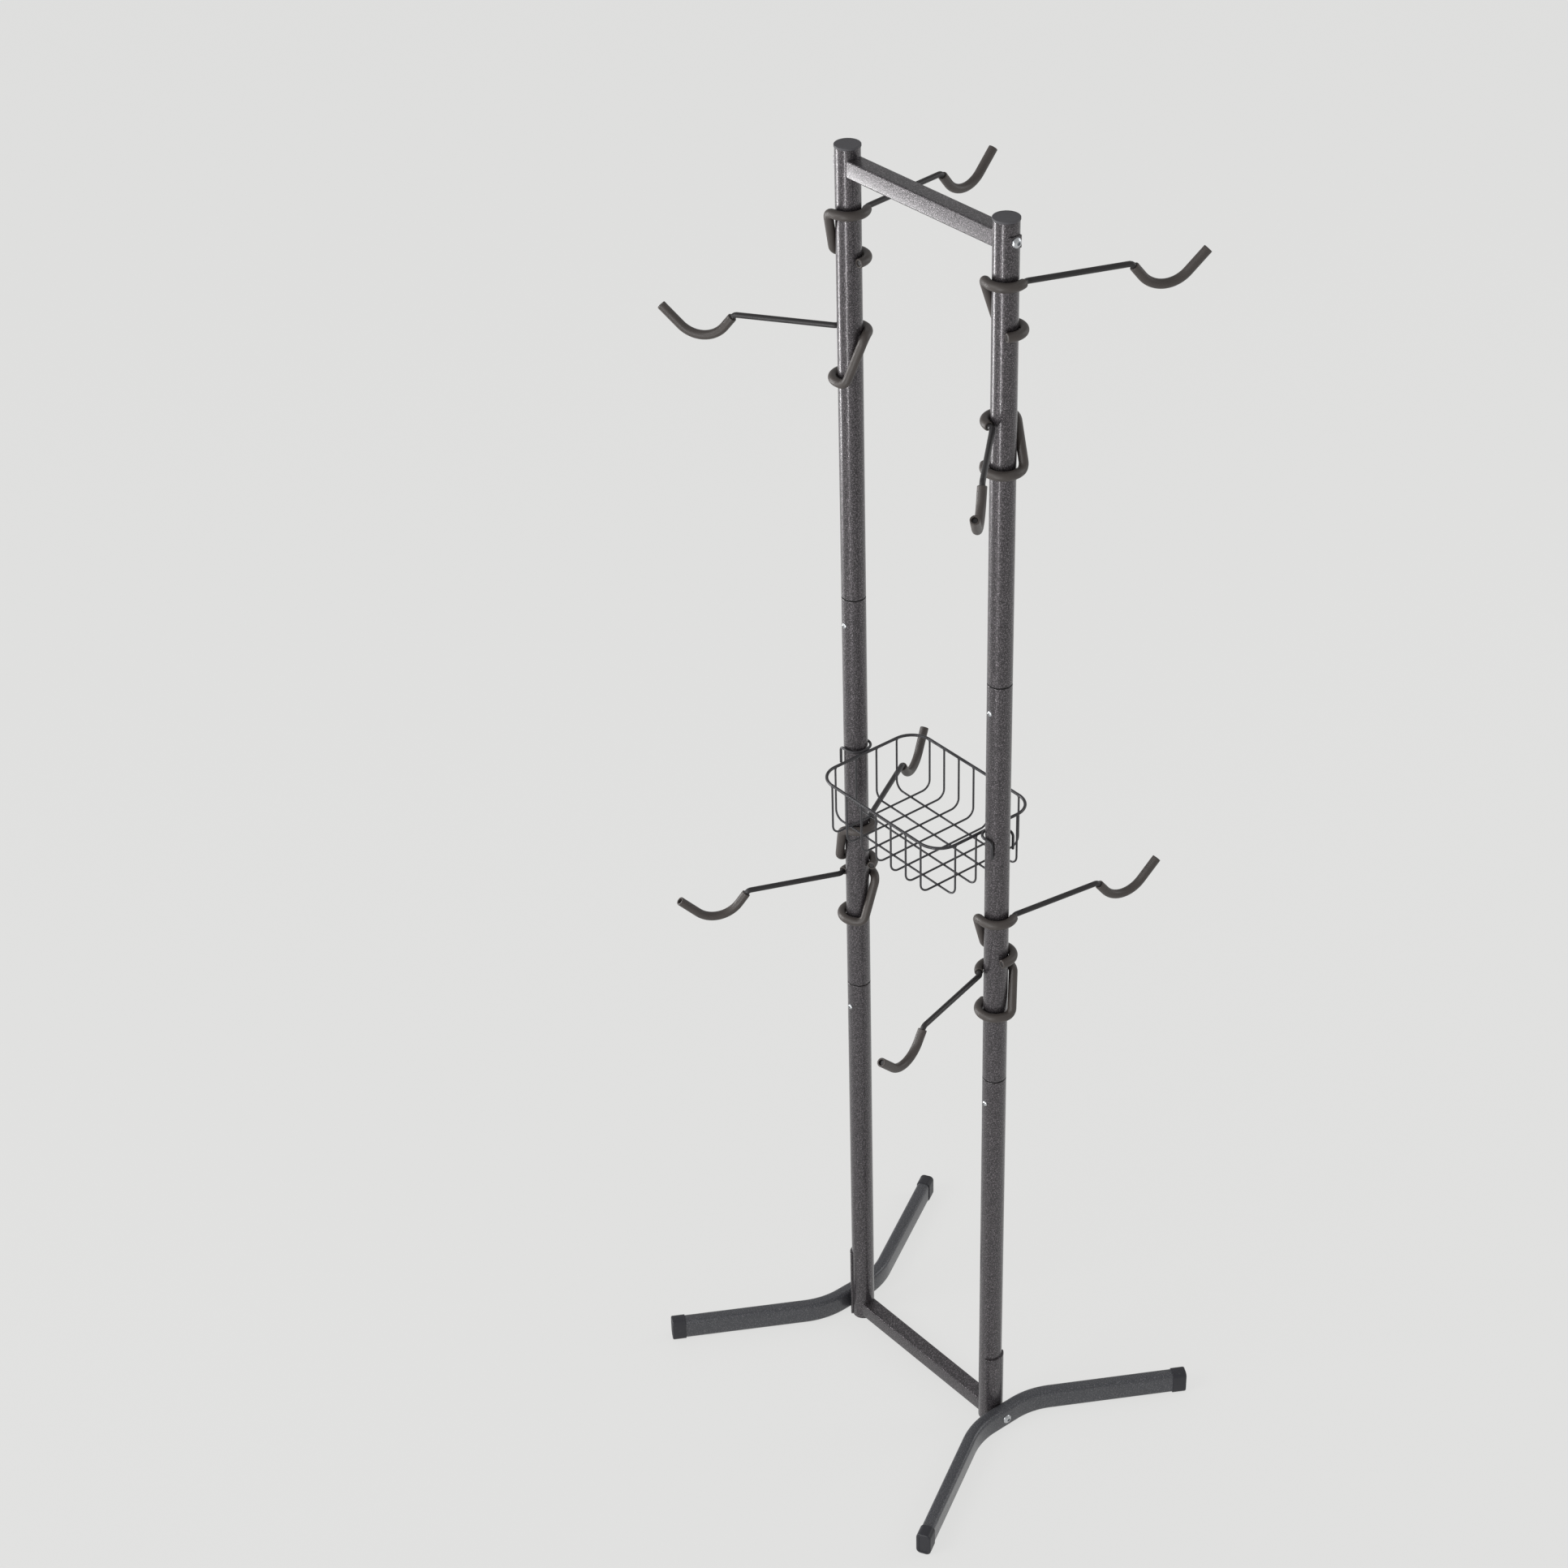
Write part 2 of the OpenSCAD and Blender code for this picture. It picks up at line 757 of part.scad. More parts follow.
// Staple on the rim's right side, whose back touches the rim above its middle and whose two
// prongs grip the post and turn down
module basket_hanger() {
    prong_y = post_r + grip_play + hanger_d / 2;
    root_x = post_x - prong_y;
    prong_x = post_x + prong_past;
    reach = (rim_d + hanger_d) / 2;
    lift = sqrt(reach * reach - (root_x - rim_x) * (root_x - rim_x));
    color(dark_grey)
        translate([0, 0, basket_z + lift])
            bent_rod(
                [
                    [prong_x, -prong_y, -prong_drop],
                    [prong_x, -prong_y, 0],
                    [root_x, -prong_y, 0],
                    [root_x, prong_y, 0],
                    [prong_x, prong_y, 0],
                    [prong_x, prong_y, -prong_drop]
                ],
                [hanger_r, hanger_wrap_r, hanger_wrap_r, hanger_r],
                hanger_d
            );
}

// Puts its children on the left or right post
module on_post(side) {
    translate([side * post_x, 0, 0])
        children();
}

// Turns a part of the right side into its mirror image for the left side
module on_side(side) {
    mirror([side < 0 ? 1 : 0, 0, 0])
        children();
}

for (s = SIDES) {
    on_post(s[1]) post_lower();
    on_post(s[1]) post_middle();
    on_post(s[1]) post_upper();
    on_post(s[1]) post_cap();
    on_side(s[1]) on_post(1) saddle();
    on_side(s[1]) leg();
    on_side(s[1]) leg_bolt();
    on_side(s[1]) top_bolt();
    on_side(s[1]) top_washer();
    on_post(s[1]) joint_screw(lower_screw_z);
    on_post(s[1]) joint_screw(upper_screw_z);
}
for (s = SIDES, e = ENDS)
    on_side(s[1]) mirror([0, e[1] < 0 ? 1 : 0, 0]) foot();
crossbar(top_bar_z);  // top_crossbar
crossbar(low_bar_z);  // bottom_crossbar
bar_plugs(top_bar_z);  // top_bar_plugs
bar_plugs(low_bar_z);  // bottom_bar_plugs
basket_rim();
basket_long_wires();
basket_cross_wires();
on_side(-1) basket_hanger();  // basket_left_hanger
basket_hanger();  // basket_right_hanger
for (h = HOOKS) {
    at_hook(h) hook_rod();
    at_hook(h) hook_grip();
    at_hook(h) hook_cradle();
}
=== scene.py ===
# %% [markdown]
# # A freestanding rack with eight hooks and a basket
#
# This lesson dresses a finished CAD model of the rack: two round posts in bent legs, eight hooks
# of bent rod with soft sleeves, and a wire basket. The CAD model gives every size and place. Here
# each piece is made again with the small roundings, lips, welds and finishes that it leaves out,
# and rides on the CAD body that carries it, so that a hook still turns round its post.
#
# Almost everything on this rack is a section drawn along a line: a tube, a rod, a wire or a
# sleeve. So the lesson builds one good sweep first, and then uses it again and again.

# %% Load the CAD model
import math

import bpy
import bmesh
from mathutils import Matrix, Vector


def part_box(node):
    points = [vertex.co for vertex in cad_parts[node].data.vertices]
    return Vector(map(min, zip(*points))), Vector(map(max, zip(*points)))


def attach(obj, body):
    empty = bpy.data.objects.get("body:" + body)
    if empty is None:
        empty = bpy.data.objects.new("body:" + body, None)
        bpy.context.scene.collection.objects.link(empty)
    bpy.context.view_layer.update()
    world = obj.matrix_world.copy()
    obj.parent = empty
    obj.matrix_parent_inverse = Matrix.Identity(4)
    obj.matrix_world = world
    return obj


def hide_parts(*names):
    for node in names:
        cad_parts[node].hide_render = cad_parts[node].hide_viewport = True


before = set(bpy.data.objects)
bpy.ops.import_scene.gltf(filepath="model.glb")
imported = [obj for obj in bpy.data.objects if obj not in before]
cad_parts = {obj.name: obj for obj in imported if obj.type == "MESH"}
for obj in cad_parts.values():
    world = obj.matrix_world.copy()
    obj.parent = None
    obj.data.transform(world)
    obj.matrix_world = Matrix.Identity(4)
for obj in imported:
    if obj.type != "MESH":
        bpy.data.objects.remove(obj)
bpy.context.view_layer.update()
MM = 0.001

# %% [markdown]
# ## Measures
#
# A number that the CAD model already holds is read from it and not typed again. The boxes of the
# nodes give the posts' radius, the seams between their sections and the sections of the bars.
# Only what no box tells, such as the radius of a bend, is written down.

# %% Read the main sizes from the CAD boxes
def size_of(node):
    """Width, depth and height of a node at rest"""
    low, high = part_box(node)
    return high - low


def middle_of(node):
    """Middle of a node's box at rest"""
    low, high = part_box(node)
    return (high + low) / 2


POST_R = size_of("right_post_lower").x / 2
POST_X = middle_of("right_post_lower").x
FLOOR_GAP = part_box("right_post_lower")[0].z
LOWER_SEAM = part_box("right_post_lower")[1].z
UPPER_SEAM = LOWER_SEAM + LOWER_SEAM - FLOOR_GAP
POST_TOP = UPPER_SEAM + LOWER_SEAM - FLOOR_GAP
SEAM_GAP = 1.4 * MM
SIDES = {"left": -1, "right": 1}
print(f"posts {POST_R * 2000:.1f} mm thick, {POST_X * 2000:.0f} mm apart, "
      f"seams at {LOWER_SEAM:.4f} and {UPPER_SEAM:.4f} m, top at {POST_TOP:.4f} m")

# %% [markdown]
# ## A line to sweep along
#
# Rod and tube are bent on a former, so their middle line is straight runs joined by arcs. A
# Bezier curve only comes near that. Here the line is worked out as a bender would set it: from
# the corners that the straight runs would meet in, and the radius of the bend in each corner.
#
# To carry a section along the line without twisting it, each point gets a side direction that is
# turned by no more than the bend between it and the point before. This is called parallel
# transport. Smooth shading blends the surface directions of neighbouring rings, so each long
# straight run gets a guard point just inside both ends. Without them, the blend at a bend would
# spread along the whole run and bend its highlights too.

# %% A line of straight runs and arcs
GUARD = 0.6 * MM
LONG_RUN = 6 * GUARD
TOUCHING = 0.01 * MM
BEND_STEP, LEAST_STEPS = 2.2 * MM, 6


class BentLine:
    """Middle line of a bent rod: its points, and how far along and which way round each one is"""

    def __init__(self, corners, radii, side):
        corners = [Vector(corner) for corner in corners]
        points = [corners[0]]
        for before, corner, after, radius in zip(corners, corners[1:], corners[2:], radii):
            into = (corner - before).normalized()
            out = (after - corner).normalized()
            turn = into.angle(out)
            axis = into.cross(out).normalized()
            start = corner - into * radius * math.tan(turn / 2)
            arm = into.cross(axis) * radius
            steps = max(LEAST_STEPS, math.ceil(turn * radius / BEND_STEP))
            for i in range(steps + 1):
                points.append(start - arm + Matrix.Rotation(turn * i / steps, 3, axis) @ arm)
        points.append(corners[-1])
        self.points = [points[0]]
        for point in points[1:]:
            run = point - self.points[-1]
            if run.length > LONG_RUN:
                guard = run.normalized() * GUARD
                self.points += [self.points[-1] + guard, point - guard]
            if run.length > TOUCHING:
                self.points.append(point)
        self.lay_out(Vector(side))

    def lay_out(self, side):
        """Finds each point's distance along the line, its direction and its side"""
        runs = [b - a for a, b in zip(self.points, self.points[1:])]
        self.at = [0]
        for run in runs:
            self.at.append(self.at[-1] + run.length)
        self.length = self.at[-1]
        headings = [run.normalized() for run in runs]
        between = [(a + b).normalized() for a, b in zip(headings, headings[1:])]
        self.ahead = [headings[0], *between, headings[-1]]
        self.sides = []
        for ahead in self.ahead:
            side = (side - ahead * side.dot(ahead)).normalized()
            self.sides.append(side)

    def place(self, s):
        """Point, side and up direction at the distance s, also before the start or past the end"""
        i = 0
        while i < len(self.at) - 2 and s > self.at[i + 1]:
            i += 1
        share = (s - self.at[i]) / (self.at[i + 1] - self.at[i])
        held = min(max(share, 0), 1)
        ahead = self.ahead[i].lerp(self.ahead[i + 1], held).normalized()
        side = self.sides[i].lerp(self.sides[i + 1], held)
        side = (side - ahead * side.dot(ahead)).normalized()
        return self.points[i].lerp(self.points[i + 1], share), side, ahead.cross(side)


def upright(x, low, high):
    """Straight line that stands beside the origin, on x"""
    return BentLine([(x, 0, low), (x, 0, high)], [], (1, 0, 0))

# %% [markdown]
# ## The sweep
#
# A lathe turns an outline round an axis. This sweep does the same along any line: the outline is
# a list of steps, each with a distance along the line and a size, and at each step the sweep
# draws its section at that size. An outline may turn back on itself, which gives a bore or a
# recess, so one function makes rods with chamfered ends, open tubes, caps and sleeves.

# %% Sections
LEAST_CORNER = 0.2 * MM


def round_section(sides):
    """Round section, its size the radius"""
    turns = [2 * math.pi * i / sides for i in range(sides)]
    return lambda radius: [(radius * math.cos(a), radius * math.sin(a)) for a in turns]


def oblong_section(width, height, corner, steps=6):
    """Rounded oblong, its size how far it is drawn in from full size"""
    def draw(inset):
        w, h = width / 2 - inset, height / 2 - inset
        r = max(corner - inset, LEAST_CORNER)
        return [((w - r) * sx + r * math.cos(math.pi / 2 * (quarter + i / steps)),
                 (h - r) * sy + r * math.sin(math.pi / 2 * (quarter + i / steps)))
                for quarter, (sx, sy) in enumerate([(1, 1), (-1, 1), (-1, -1), (1, -1)])
                for i in range(steps + 1)]
    return draw

# %% Parts of outlines
def quarter_turn(steps):
    """Angles of a quarter turn in equal steps"""
    return [math.pi / 2 * i / steps for i in range(steps + 1)]


def rounded_edge(s, radius, edge, towards):
    """Quarter round at the outer edge of a tube's end, from its face to its side"""
    return [(s + towards * edge * (1 - math.sin(a)), radius - edge + edge * math.cos(a))
            for a in reversed(quarter_turn(4))]


def chamfered(length, radius, cut):
    """Rod with a small chamfer at both ends"""
    return [(0, radius - cut), (cut, radius), (length - cut, radius), (length, radius - cut)]

# %% Draw an outline of a section along a line
def sweep(mesh, line, outline, section, joined=False):
    """Adds the sweep of a section to a bmesh, its ends closed, or joined to each other"""
    steps = [outline[0]]
    for (s0, a0), (s1, a1) in zip(outline, outline[1:]):
        low, high = min(s0, s1), max(s0, s1)
        between = {s for s in line.at if low + 2 * TOUCHING < s < high - 2 * TOUCHING}
        if high - low > LONG_RUN:
            between |= {low + GUARD, high - GUARD}
        for s in sorted(between, reverse=s1 < s0):
            steps.append((s, a0 + (a1 - a0) * (s - s0) / (s1 - s0)))
        steps.append((s1, a1))
    rings = []
    for s, size in steps:
        point, side, up = line.place(s)
        rings.append([mesh.verts.new(point + side * x + up * y) for x, y in section(size)])
    if joined:
        for vert in rings.pop():
            mesh.verts.remove(vert)
        rings.append(rings[0])
    for a, b in zip(rings, rings[1:]):
        for i in range(len(a)):
            j = (i + 1) % len(a)
            mesh.faces.new((a[i], a[j], b[j], b[i]))
    if not joined:
        mesh.faces.new(rings[0][::-1])
        mesh.faces.new(rings[-1])
    return mesh

# %% [markdown]
# ## From a mesh to a piece of the rack
#
# Every piece is shaded smooth and keeps a crease only where its faces meet at more than 35
# degrees. It has the name of the CAD node that it stands for, with a dot after the group that it
# belongs to, and it is told which body carries it and which finish it has.

# %% Turn a mesh into a piece that rides on a body
CREASE = math.radians(35)


def add_object(name, data):
    """Puts a mesh, light or camera in the scene"""
    added = bpy.data.objects.new(name, data)
    bpy.context.scene.collection.objects.link(added)
    return added


def mesh_object(name, mesh, finish):
    """Puts a bmesh in the scene with its finish"""
    data = bpy.data.meshes.new(name)
    mesh.to_mesh(data)
    mesh.free()
    data.materials.append(finish.material)
    return add_object(name, data)


def make_piece(group, part, mesh, body, finish):
    """Makes the piece that stands for the CAD node group_part and rides on a body"""
    bmesh.ops.recalc_face_normals(mesh, faces=mesh.faces)
    piece = mesh_object(f"{group}.{part}", mesh, finish)
    piece.data.shade_smooth()
    piece.data.set_sharp_from_angle(angle=CREASE)
    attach(piece, body)
    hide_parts(f"{group}_{part}")

# %% [markdown]
# ## Sums on shader values
#
# A finish that varies over the surface is arithmetic on textures. A small class wraps a socket so
# that this arithmetic reads as Python: `0.4 + 0.1 * cells` adds the two Math nodes by itself.
# Colours don't go through Math nodes, which would turn them grey, but through a Mix node. Every
# node, of whatever kind, is added by one method.

# %% Write node sums as Python
class Value:
    """Number, colour or shader given by a node's socket"""

    def __init__(self, nodes, socket):
        self.nodes = nodes
        self.socket = socket

    def __add__(self, other):
        return self.nodes.maths("ADD", self, other)

    def __sub__(self, other):
        return self.nodes.maths("SUBTRACT", self, other)

    def __rsub__(self, other):
        return self.nodes.maths("SUBTRACT", other, self)

    def __mul__(self, other):
        return self.nodes.maths("MULTIPLY", self, other)

    __radd__ = __add__
    __rmul__ = __mul__


class Nodes:
    """Tree of shader nodes"""

    def __init__(self, tree):
        self.tree = tree

    def node(self, kind, settings=None, sockets=None, out=0):
        """Adds a node, sets it, then fills its sockets with values or links"""
        node = self.tree.nodes.new(kind)
        for name, value in (settings or {}).items():
            setattr(node, name, value)
        for key, value in (sockets or {}).items():
            self.fill(node.inputs[key], value)
        return Value(self, node.outputs[out])

    def fill(self, socket, value):
        """Links a value to a socket, or writes a plain number or colour there"""
        if isinstance(value, Value):
            self.tree.links.new(value.socket, socket)
        else:
            socket.default_value = value

    def maths(self, operation, *values):
        """One sum on values"""
        return self.node("ShaderNodeMath", {"operation": operation}, dict(enumerate(values)))

# %% Finishes
class Finish(Nodes):
    """Material built round one shader, with a slot name of the CAD record kept beside it"""

    def __init__(self, name, slot=None, **shader_values):
        self.material = bpy.data.materials.new(name)
        self.material.use_nodes = True
        super().__init__(self.material.node_tree)
        self.slot = slot
        self.shader = self.tree.nodes["Principled BSDF"]
        for socket, value in shader_values.items():
            self.set(socket.replace("_", " "), value)
        self.place = self.node("ShaderNodeTexCoord", out="Object")

    def set(self, name, value):
        """Fills a socket of the shader"""
        self.fill(self.shader.inputs[name], value)

    def grain(self, scale, detail=2, roughness=0.5, stretch=(1, 1, 1)):
        """Soft noise from 0 to 1, its grains about 1/scale metres wide"""
        place = self.node("ShaderNodeMapping", sockets={"Vector": self.place, "Scale": stretch})
        return self.node("ShaderNodeTexNoise", sockets={
            "Vector": place, "Scale": scale, "Detail": detail, "Roughness": roughness})

    def cells(self, scale, smoothness):
        """Round dimples from 0 in their middles to about 0.7, about 1/scale metres wide"""
        return self.node("ShaderNodeTexVoronoi", {"feature": "SMOOTH_F1"}, {
            "Vector": self.place, "Scale": scale, "Smoothness": smoothness})

    def between(self, low, high, value):
        """0 where a value is below low, 1 where it is above high, soft in between"""
        return self.node("ShaderNodeMapRange", {"interpolation_type": "SMOOTHSTEP"}, {
            "Value": value, "From Min": low, "From Max": high})

    def blend(self, amount, first, second):
        """Mix of two colours"""
        return self.node("ShaderNodeMix", {"data_type": "RGBA"}, {
            0: amount, 6: first, 7: second}, out=2)

    def bump(self, height, depth, strength):
        """Relief of the given depth in metres"""
        self.set("Normal", self.node("ShaderNodeBump", sockets={
            "Height": height, "Distance": depth, "Strength": strength}))


def screen(red, green, blue):
    """Colour of three screen numbers from 0 to 255, as light"""
    def light(v):
        return v / 12.92 if v <= 0.04045 else ((v + 0.055) / 1.055) ** 2.4
    return (light(red / 255), light(green / 255), light(blue / 255), 1)

# %% [markdown]
# ## Paint on the posts and bars
#
# The posts wear a graphite powder coat with a hammered look: shallow round dimples two or three
# millimetres wide, with fine metal flakes in a darker ground. Dimples are a smooth Voronoi
# texture, flakes a very fine noise cut to its peaks. Both also change the roughness a little, so
# that the long highlights break up as they do on real powder coat. A broad, faint noise keeps two
# metres of tube from looking printed. The grooves at the posts' seams get painted shade: a dark,
# dull band in the colour that stands in for the shadow in the gap. The height above the floor
# tells where, since the meshes are made in the CAD model's own frame.

# %% Hammered graphite paint
SEAM_SHADE_FADE = 0.6 * MM

hammered = Finish("graphite_hammered_paint", "post_paint", IOR=1.5, Coat_Roughness=0.16)
dimples = hammered.cells(390, smoothness=0.6)
flakes = hammered.between(0.5, 0.66, hammered.grain(640, roughness=0.65))
cloud = hammered.grain(11, detail=3, roughness=0.55, stretch=(1, 1, 0.35))
height = hammered.node("ShaderNodeSeparateXYZ", sockets={"Vector": hammered.place}, out=2)
# Painted shade: a band at each seam's groove, standing in for the shadow in the gap.
seams = [hammered.maths("ABSOLUTE", height - (seam + SEAM_GAP / 2))
         for seam in (LOWER_SEAM, UPPER_SEAM)]
seam_shade = 1 - hammered.between(SEAM_GAP / 2, SEAM_GAP / 2 + SEAM_SHADE_FADE,
                             hammered.maths("MINIMUM", *seams))

ground = hammered.blend(cloud, screen(62, 58, 61), screen(72, 68, 71))
ground = hammered.blend(1.1 * dimples, ground, screen(30, 28, 30))
ground = hammered.blend(0.5 * flakes, ground, screen(164, 157, 162))
# The seams' painted shade turns the colour nearly black there, and dulls shine and coat.
hammered.set("Base Color", hammered.blend(0.9 * seam_shade, ground, screen(12, 11, 11)))
hammered.set("Metallic", (0.5 + 0.35 * flakes) * (1 - 0.9 * seam_shade))
hammered.set("Roughness", 0.3 + 0.08 * cloud + 0.1 * dimples + 0.3 * seam_shade)
hammered.set("Coat Weight", (0.55 - 0.15 * cloud) * (1 - seam_shade))
hammered.bump(dimples + 0.12 * flakes, 0.14 * MM, 0.55)
print("posts and bars:", hammered.material.name)

# %% [markdown]
# The legs have a plainer and darker coat. Close up it shows the even ripple of powder coat, called
# orange peel, and a few faint scuffs from use.

# %% Plain dark paint of the legs
leg_coat = Finish("leg_paint", "leg_paint", IOR=1.5, Coat_Roughness=0.25)
peel = leg_coat.grain(700, roughness=0.45)
patches = leg_coat.grain(16, detail=4, roughness=0.6)
scuffs = leg_coat.between(0.63, 0.72, leg_coat.grain(60, 5, 0.6, stretch=(1, 0.25, 3)))
specks = leg_coat.between(0.5, 0.66, leg_coat.grain(640, roughness=0.65))

leg_ground = leg_coat.blend(patches, screen(58, 59, 63), screen(68, 69, 73))
leg_ground = leg_coat.blend(0.4 * specks, leg_ground, screen(140, 139, 142))
leg_coat.set("Base Color", leg_coat.blend(0.2 * scuffs, leg_ground, screen(120, 120, 119)))
leg_coat.set("Metallic", 0.35 + 0.1 * patches)
leg_coat.set("Roughness", 0.34 + 0.1 * patches + 0.12 * scuffs)
leg_coat.set("Coat Weight", 0.35 - 0.12 * scuffs)
leg_coat.bump(peel + 0.15 * scuffs, 0.07 * MM, 0.5)
print("legs:", leg_coat.material.name)

# %% [markdown]
# The rods are thin enough that their coat looks almost plain: satin black with a fine ripple. The
# basket's wire has a thicker dipped coat, a shade lighter, that gathers in soft waves.

# %% Coats of the rods and of the basket's wire
rod_coat = Finish("rod_paint", "rod_paint", IOR=1.5, Coat_Roughness=0.2)
rod_patches = rod_coat.grain(35, detail=3, roughness=0.6)
rod_coat.set("Base Color", rod_coat.blend(rod_patches, screen(36, 35, 36), screen(48, 46, 47)))
rod_coat.set("Roughness", 0.34 + 0.12 * rod_patches)
rod_coat.set("Metallic", 0.15 + 0.05 * rod_patches)
rod_coat.bump(rod_coat.grain(900), 0.05 * MM, 0.5)

wire_coat = Finish("basket_wire_coat", "wire_coat", IOR=1.5)
waves = wire_coat.grain(160, detail=3)
wire_coat.set("Base Color", wire_coat.blend(waves, screen(50, 50, 52), screen(68, 67, 70)))
wire_coat.set("Roughness", 0.3 + 0.12 * waves)
wire_coat.set("Metallic", 0.3 + 0.1 * waves)
wire_coat.bump(waves + 0.3 * wire_coat.grain(1100, detail=1), 0.12 * MM, 0.6)
print("rods and wires:", rod_coat.material.name, wire_coat.material.name)

# %% [markdown]
# The soft sleeves are dipped vinyl: brown-grey, satin, slightly uneven in colour, with very fine
# pits. Dust in the pits makes it paler in patches. Vinyl is no metal, so its soft gloss comes
# from its roughness alone.

# %% Soft vinyl of the sleeves
vinyl = Finish("sleeve_vinyl", "sleeve_vinyl", IOR=1.5)
mottle = vinyl.grain(55, detail=4, roughness=0.6)
pits = vinyl.cells(1500, smoothness=0.4)
vinyl_ground = vinyl.blend(mottle, screen(50, 45, 43), screen(68, 62, 59))
vinyl.set("Base Color", vinyl.blend(0.2 * pits, vinyl_ground, screen(96, 90, 86)))
vinyl.set("Roughness", 0.38 + 0.14 * mottle + 0.05 * pits)
vinyl.bump(0.5 * pits + vinyl.grain(260, detail=3), 0.09 * MM, 0.6)
print("sleeves:", vinyl.material.name)

# %% [markdown]
# Two moulded plastics are left: a grey one with a fine spark-eroded grain for the post caps, and
# a black one, a little smoother, for the leg caps. Bolts and screws are zinc plated, which is
# bright, faintly bluish and cloudy.

# %% Plastics and zinc
cap_plastic = Finish("cap_plastic", "cap_plastic", IOR=1.46)
cap_grain = cap_plastic.cells(1700, smoothness=0.3)
cap_cloud = cap_plastic.grain(40, detail=3)
cap_plastic.set("Base Color", cap_plastic.blend(
    cap_cloud, screen(70, 69, 72), screen(80, 79, 83)))
cap_plastic.set("Roughness", 0.5 + 0.1 * cap_grain + 0.06 * cap_cloud)
cap_plastic.bump(cap_grain, 0.05 * MM, 0.7)

foot_plastic = Finish("foot_plastic", "foot_plastic", IOR=1.46)
foot_grain = foot_plastic.cells(1300, smoothness=0.4)
foot_wear = foot_plastic.between(0.58, 0.75, foot_plastic.grain(75, detail=4, roughness=0.6))
foot_plastic.set("Base Color", foot_plastic.blend(
    foot_wear, screen(38, 38, 43), screen(60, 60, 64)))
foot_plastic.set("Roughness", 0.4 + 0.1 * foot_grain + 0.12 * foot_wear)
foot_plastic.bump(foot_grain + 0.4 * foot_wear, 0.06 * MM, 0.6)

zinc = Finish("zinc_plate", Metallic=1.0)
bloom = zinc.grain(240, detail=4, roughness=0.6)
zinc.set("Base Color", zinc.blend(bloom, screen(176, 180, 186), screen(206, 207, 206)))
zinc.set("Roughness", 0.22 + 0.2 * bloom)
zinc.bump(zinc.grain(900), 0.03 * MM, 0.5)
print("fittings:", [f.material.name for f in (cap_plastic, foot_plastic, zinc)])

# %% [markdown]
# ## Posts
#
# A post is three lengths of tube. Each one sits on a neck of the one below, with a hair of space
# and edges rolled by the cutter, so that a thin groove marks the seam; the paint adds painted
# shade there. The outline goes up the outside, over the edge and back down the bore.

# %% Three sections to a post
POST_WALL, EDGE = 1.6 * MM, 1.0 * MM
NECK_R, NECK_LEN = POST_R - 1.8 * MM, 8 * MM
BORE_R = NECK_R - POST_WALL


def tube_section(start, length, neck):
    """Outline of an open tube: bore, lower edge, outside, upper edge, its neck and the bore"""
    upper = [(length, NECK_R), (length + NECK_LEN, NECK_R),
             (length + NECK_LEN, BORE_R)] if neck else [(length, POST_R - POST_WALL)]
    return ([(length / 2, BORE_R), (start, BORE_R)]
            + rounded_edge(start, POST_R, EDGE, 1)
            + rounded_edge(length, POST_R, EDGE, -1)[::-1]
            + upper + [(length / 2, BORE_R)])


post_round = round_section(96)
SECTIONS = {"lower": (FLOOR_GAP, LOWER_SEAM), "middle": (LOWER_SEAM, UPPER_SEAM),
            "upper": (UPPER_SEAM, POST_TOP)}

for side, sign in SIDES.items():
    for name, (low, high) in SECTIONS.items():
        outline = tube_section(0 if name == "lower" else SEAM_GAP, high - low, name != "upper")
        mesh = sweep(bmesh.new(), upright(sign * POST_X, low, high), outline, post_round,
                     joined=True)
        make_piece(side, f"post_{name}", mesh, "frame", hammered)
print("post sections made:", len(SIDES) * len(SECTIONS))

# %% [markdown]
# The cap is a flat moulded disc, a little wider than the tube. Its rim is well rounded and its
# face dips slightly, as thick plastic does when it cools. A tapered plug holds it in the tube.

# %% Caps on the posts
CAP_R = size_of("right_post_cap").x / 2
CAP_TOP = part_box("right_post_cap")[1].z - POST_TOP
CAP_ROUND, CAP_CUT, CAP_DIP = 1.3 * MM, 0.3 * MM, 0.25 * MM
PLUG_R, PLUG_LEN, PLUG_TAPER, PLUG_COLLAR = POST_R - POST_WALL, 10 * MM, 0.4 * MM, 0.2 * MM
CAP_RINGS = (0.86, 0.75, 0.6, 0.4, 0.15)

for side, sign in SIDES.items():
    outline = [(-PLUG_LEN, PLUG_R - PLUG_TAPER), (-PLUG_COLLAR, PLUG_R), (0, PLUG_R),
               (0, CAP_R - CAP_CUT), (CAP_CUT, CAP_R)]
    outline += rounded_edge(CAP_TOP, CAP_R, CAP_ROUND, -1)[::-1]
    outline += [(CAP_TOP - CAP_DIP * (1 - share ** 4), CAP_R * share) for share in CAP_RINGS]
    mesh = sweep(bmesh.new(), upright(sign * POST_X, POST_TOP, POST_TOP + CAP_TOP), outline,
                 post_round)
    make_piece(side, "post_cap", mesh, "frame", cap_plastic)
print(f"caps {CAP_R * 2000:.1f} mm wide, {CAP_TOP * 1000:.1f} mm high")

# %% [markdown]
# ## Bars between the posts
#
# The bars are square tube, rolled from sheet, so their corners are round. Their ends are cut to
# fit the posts. The sweep gives a bar with flat ends, and then each end point moves along the bar
# until it lies on the post's surface.

# %% Crossbars with ends cut round
BAR = size_of("top_crossbar").y
BAR_CORNER = 2.6 * MM
BITE = 0.15 * MM

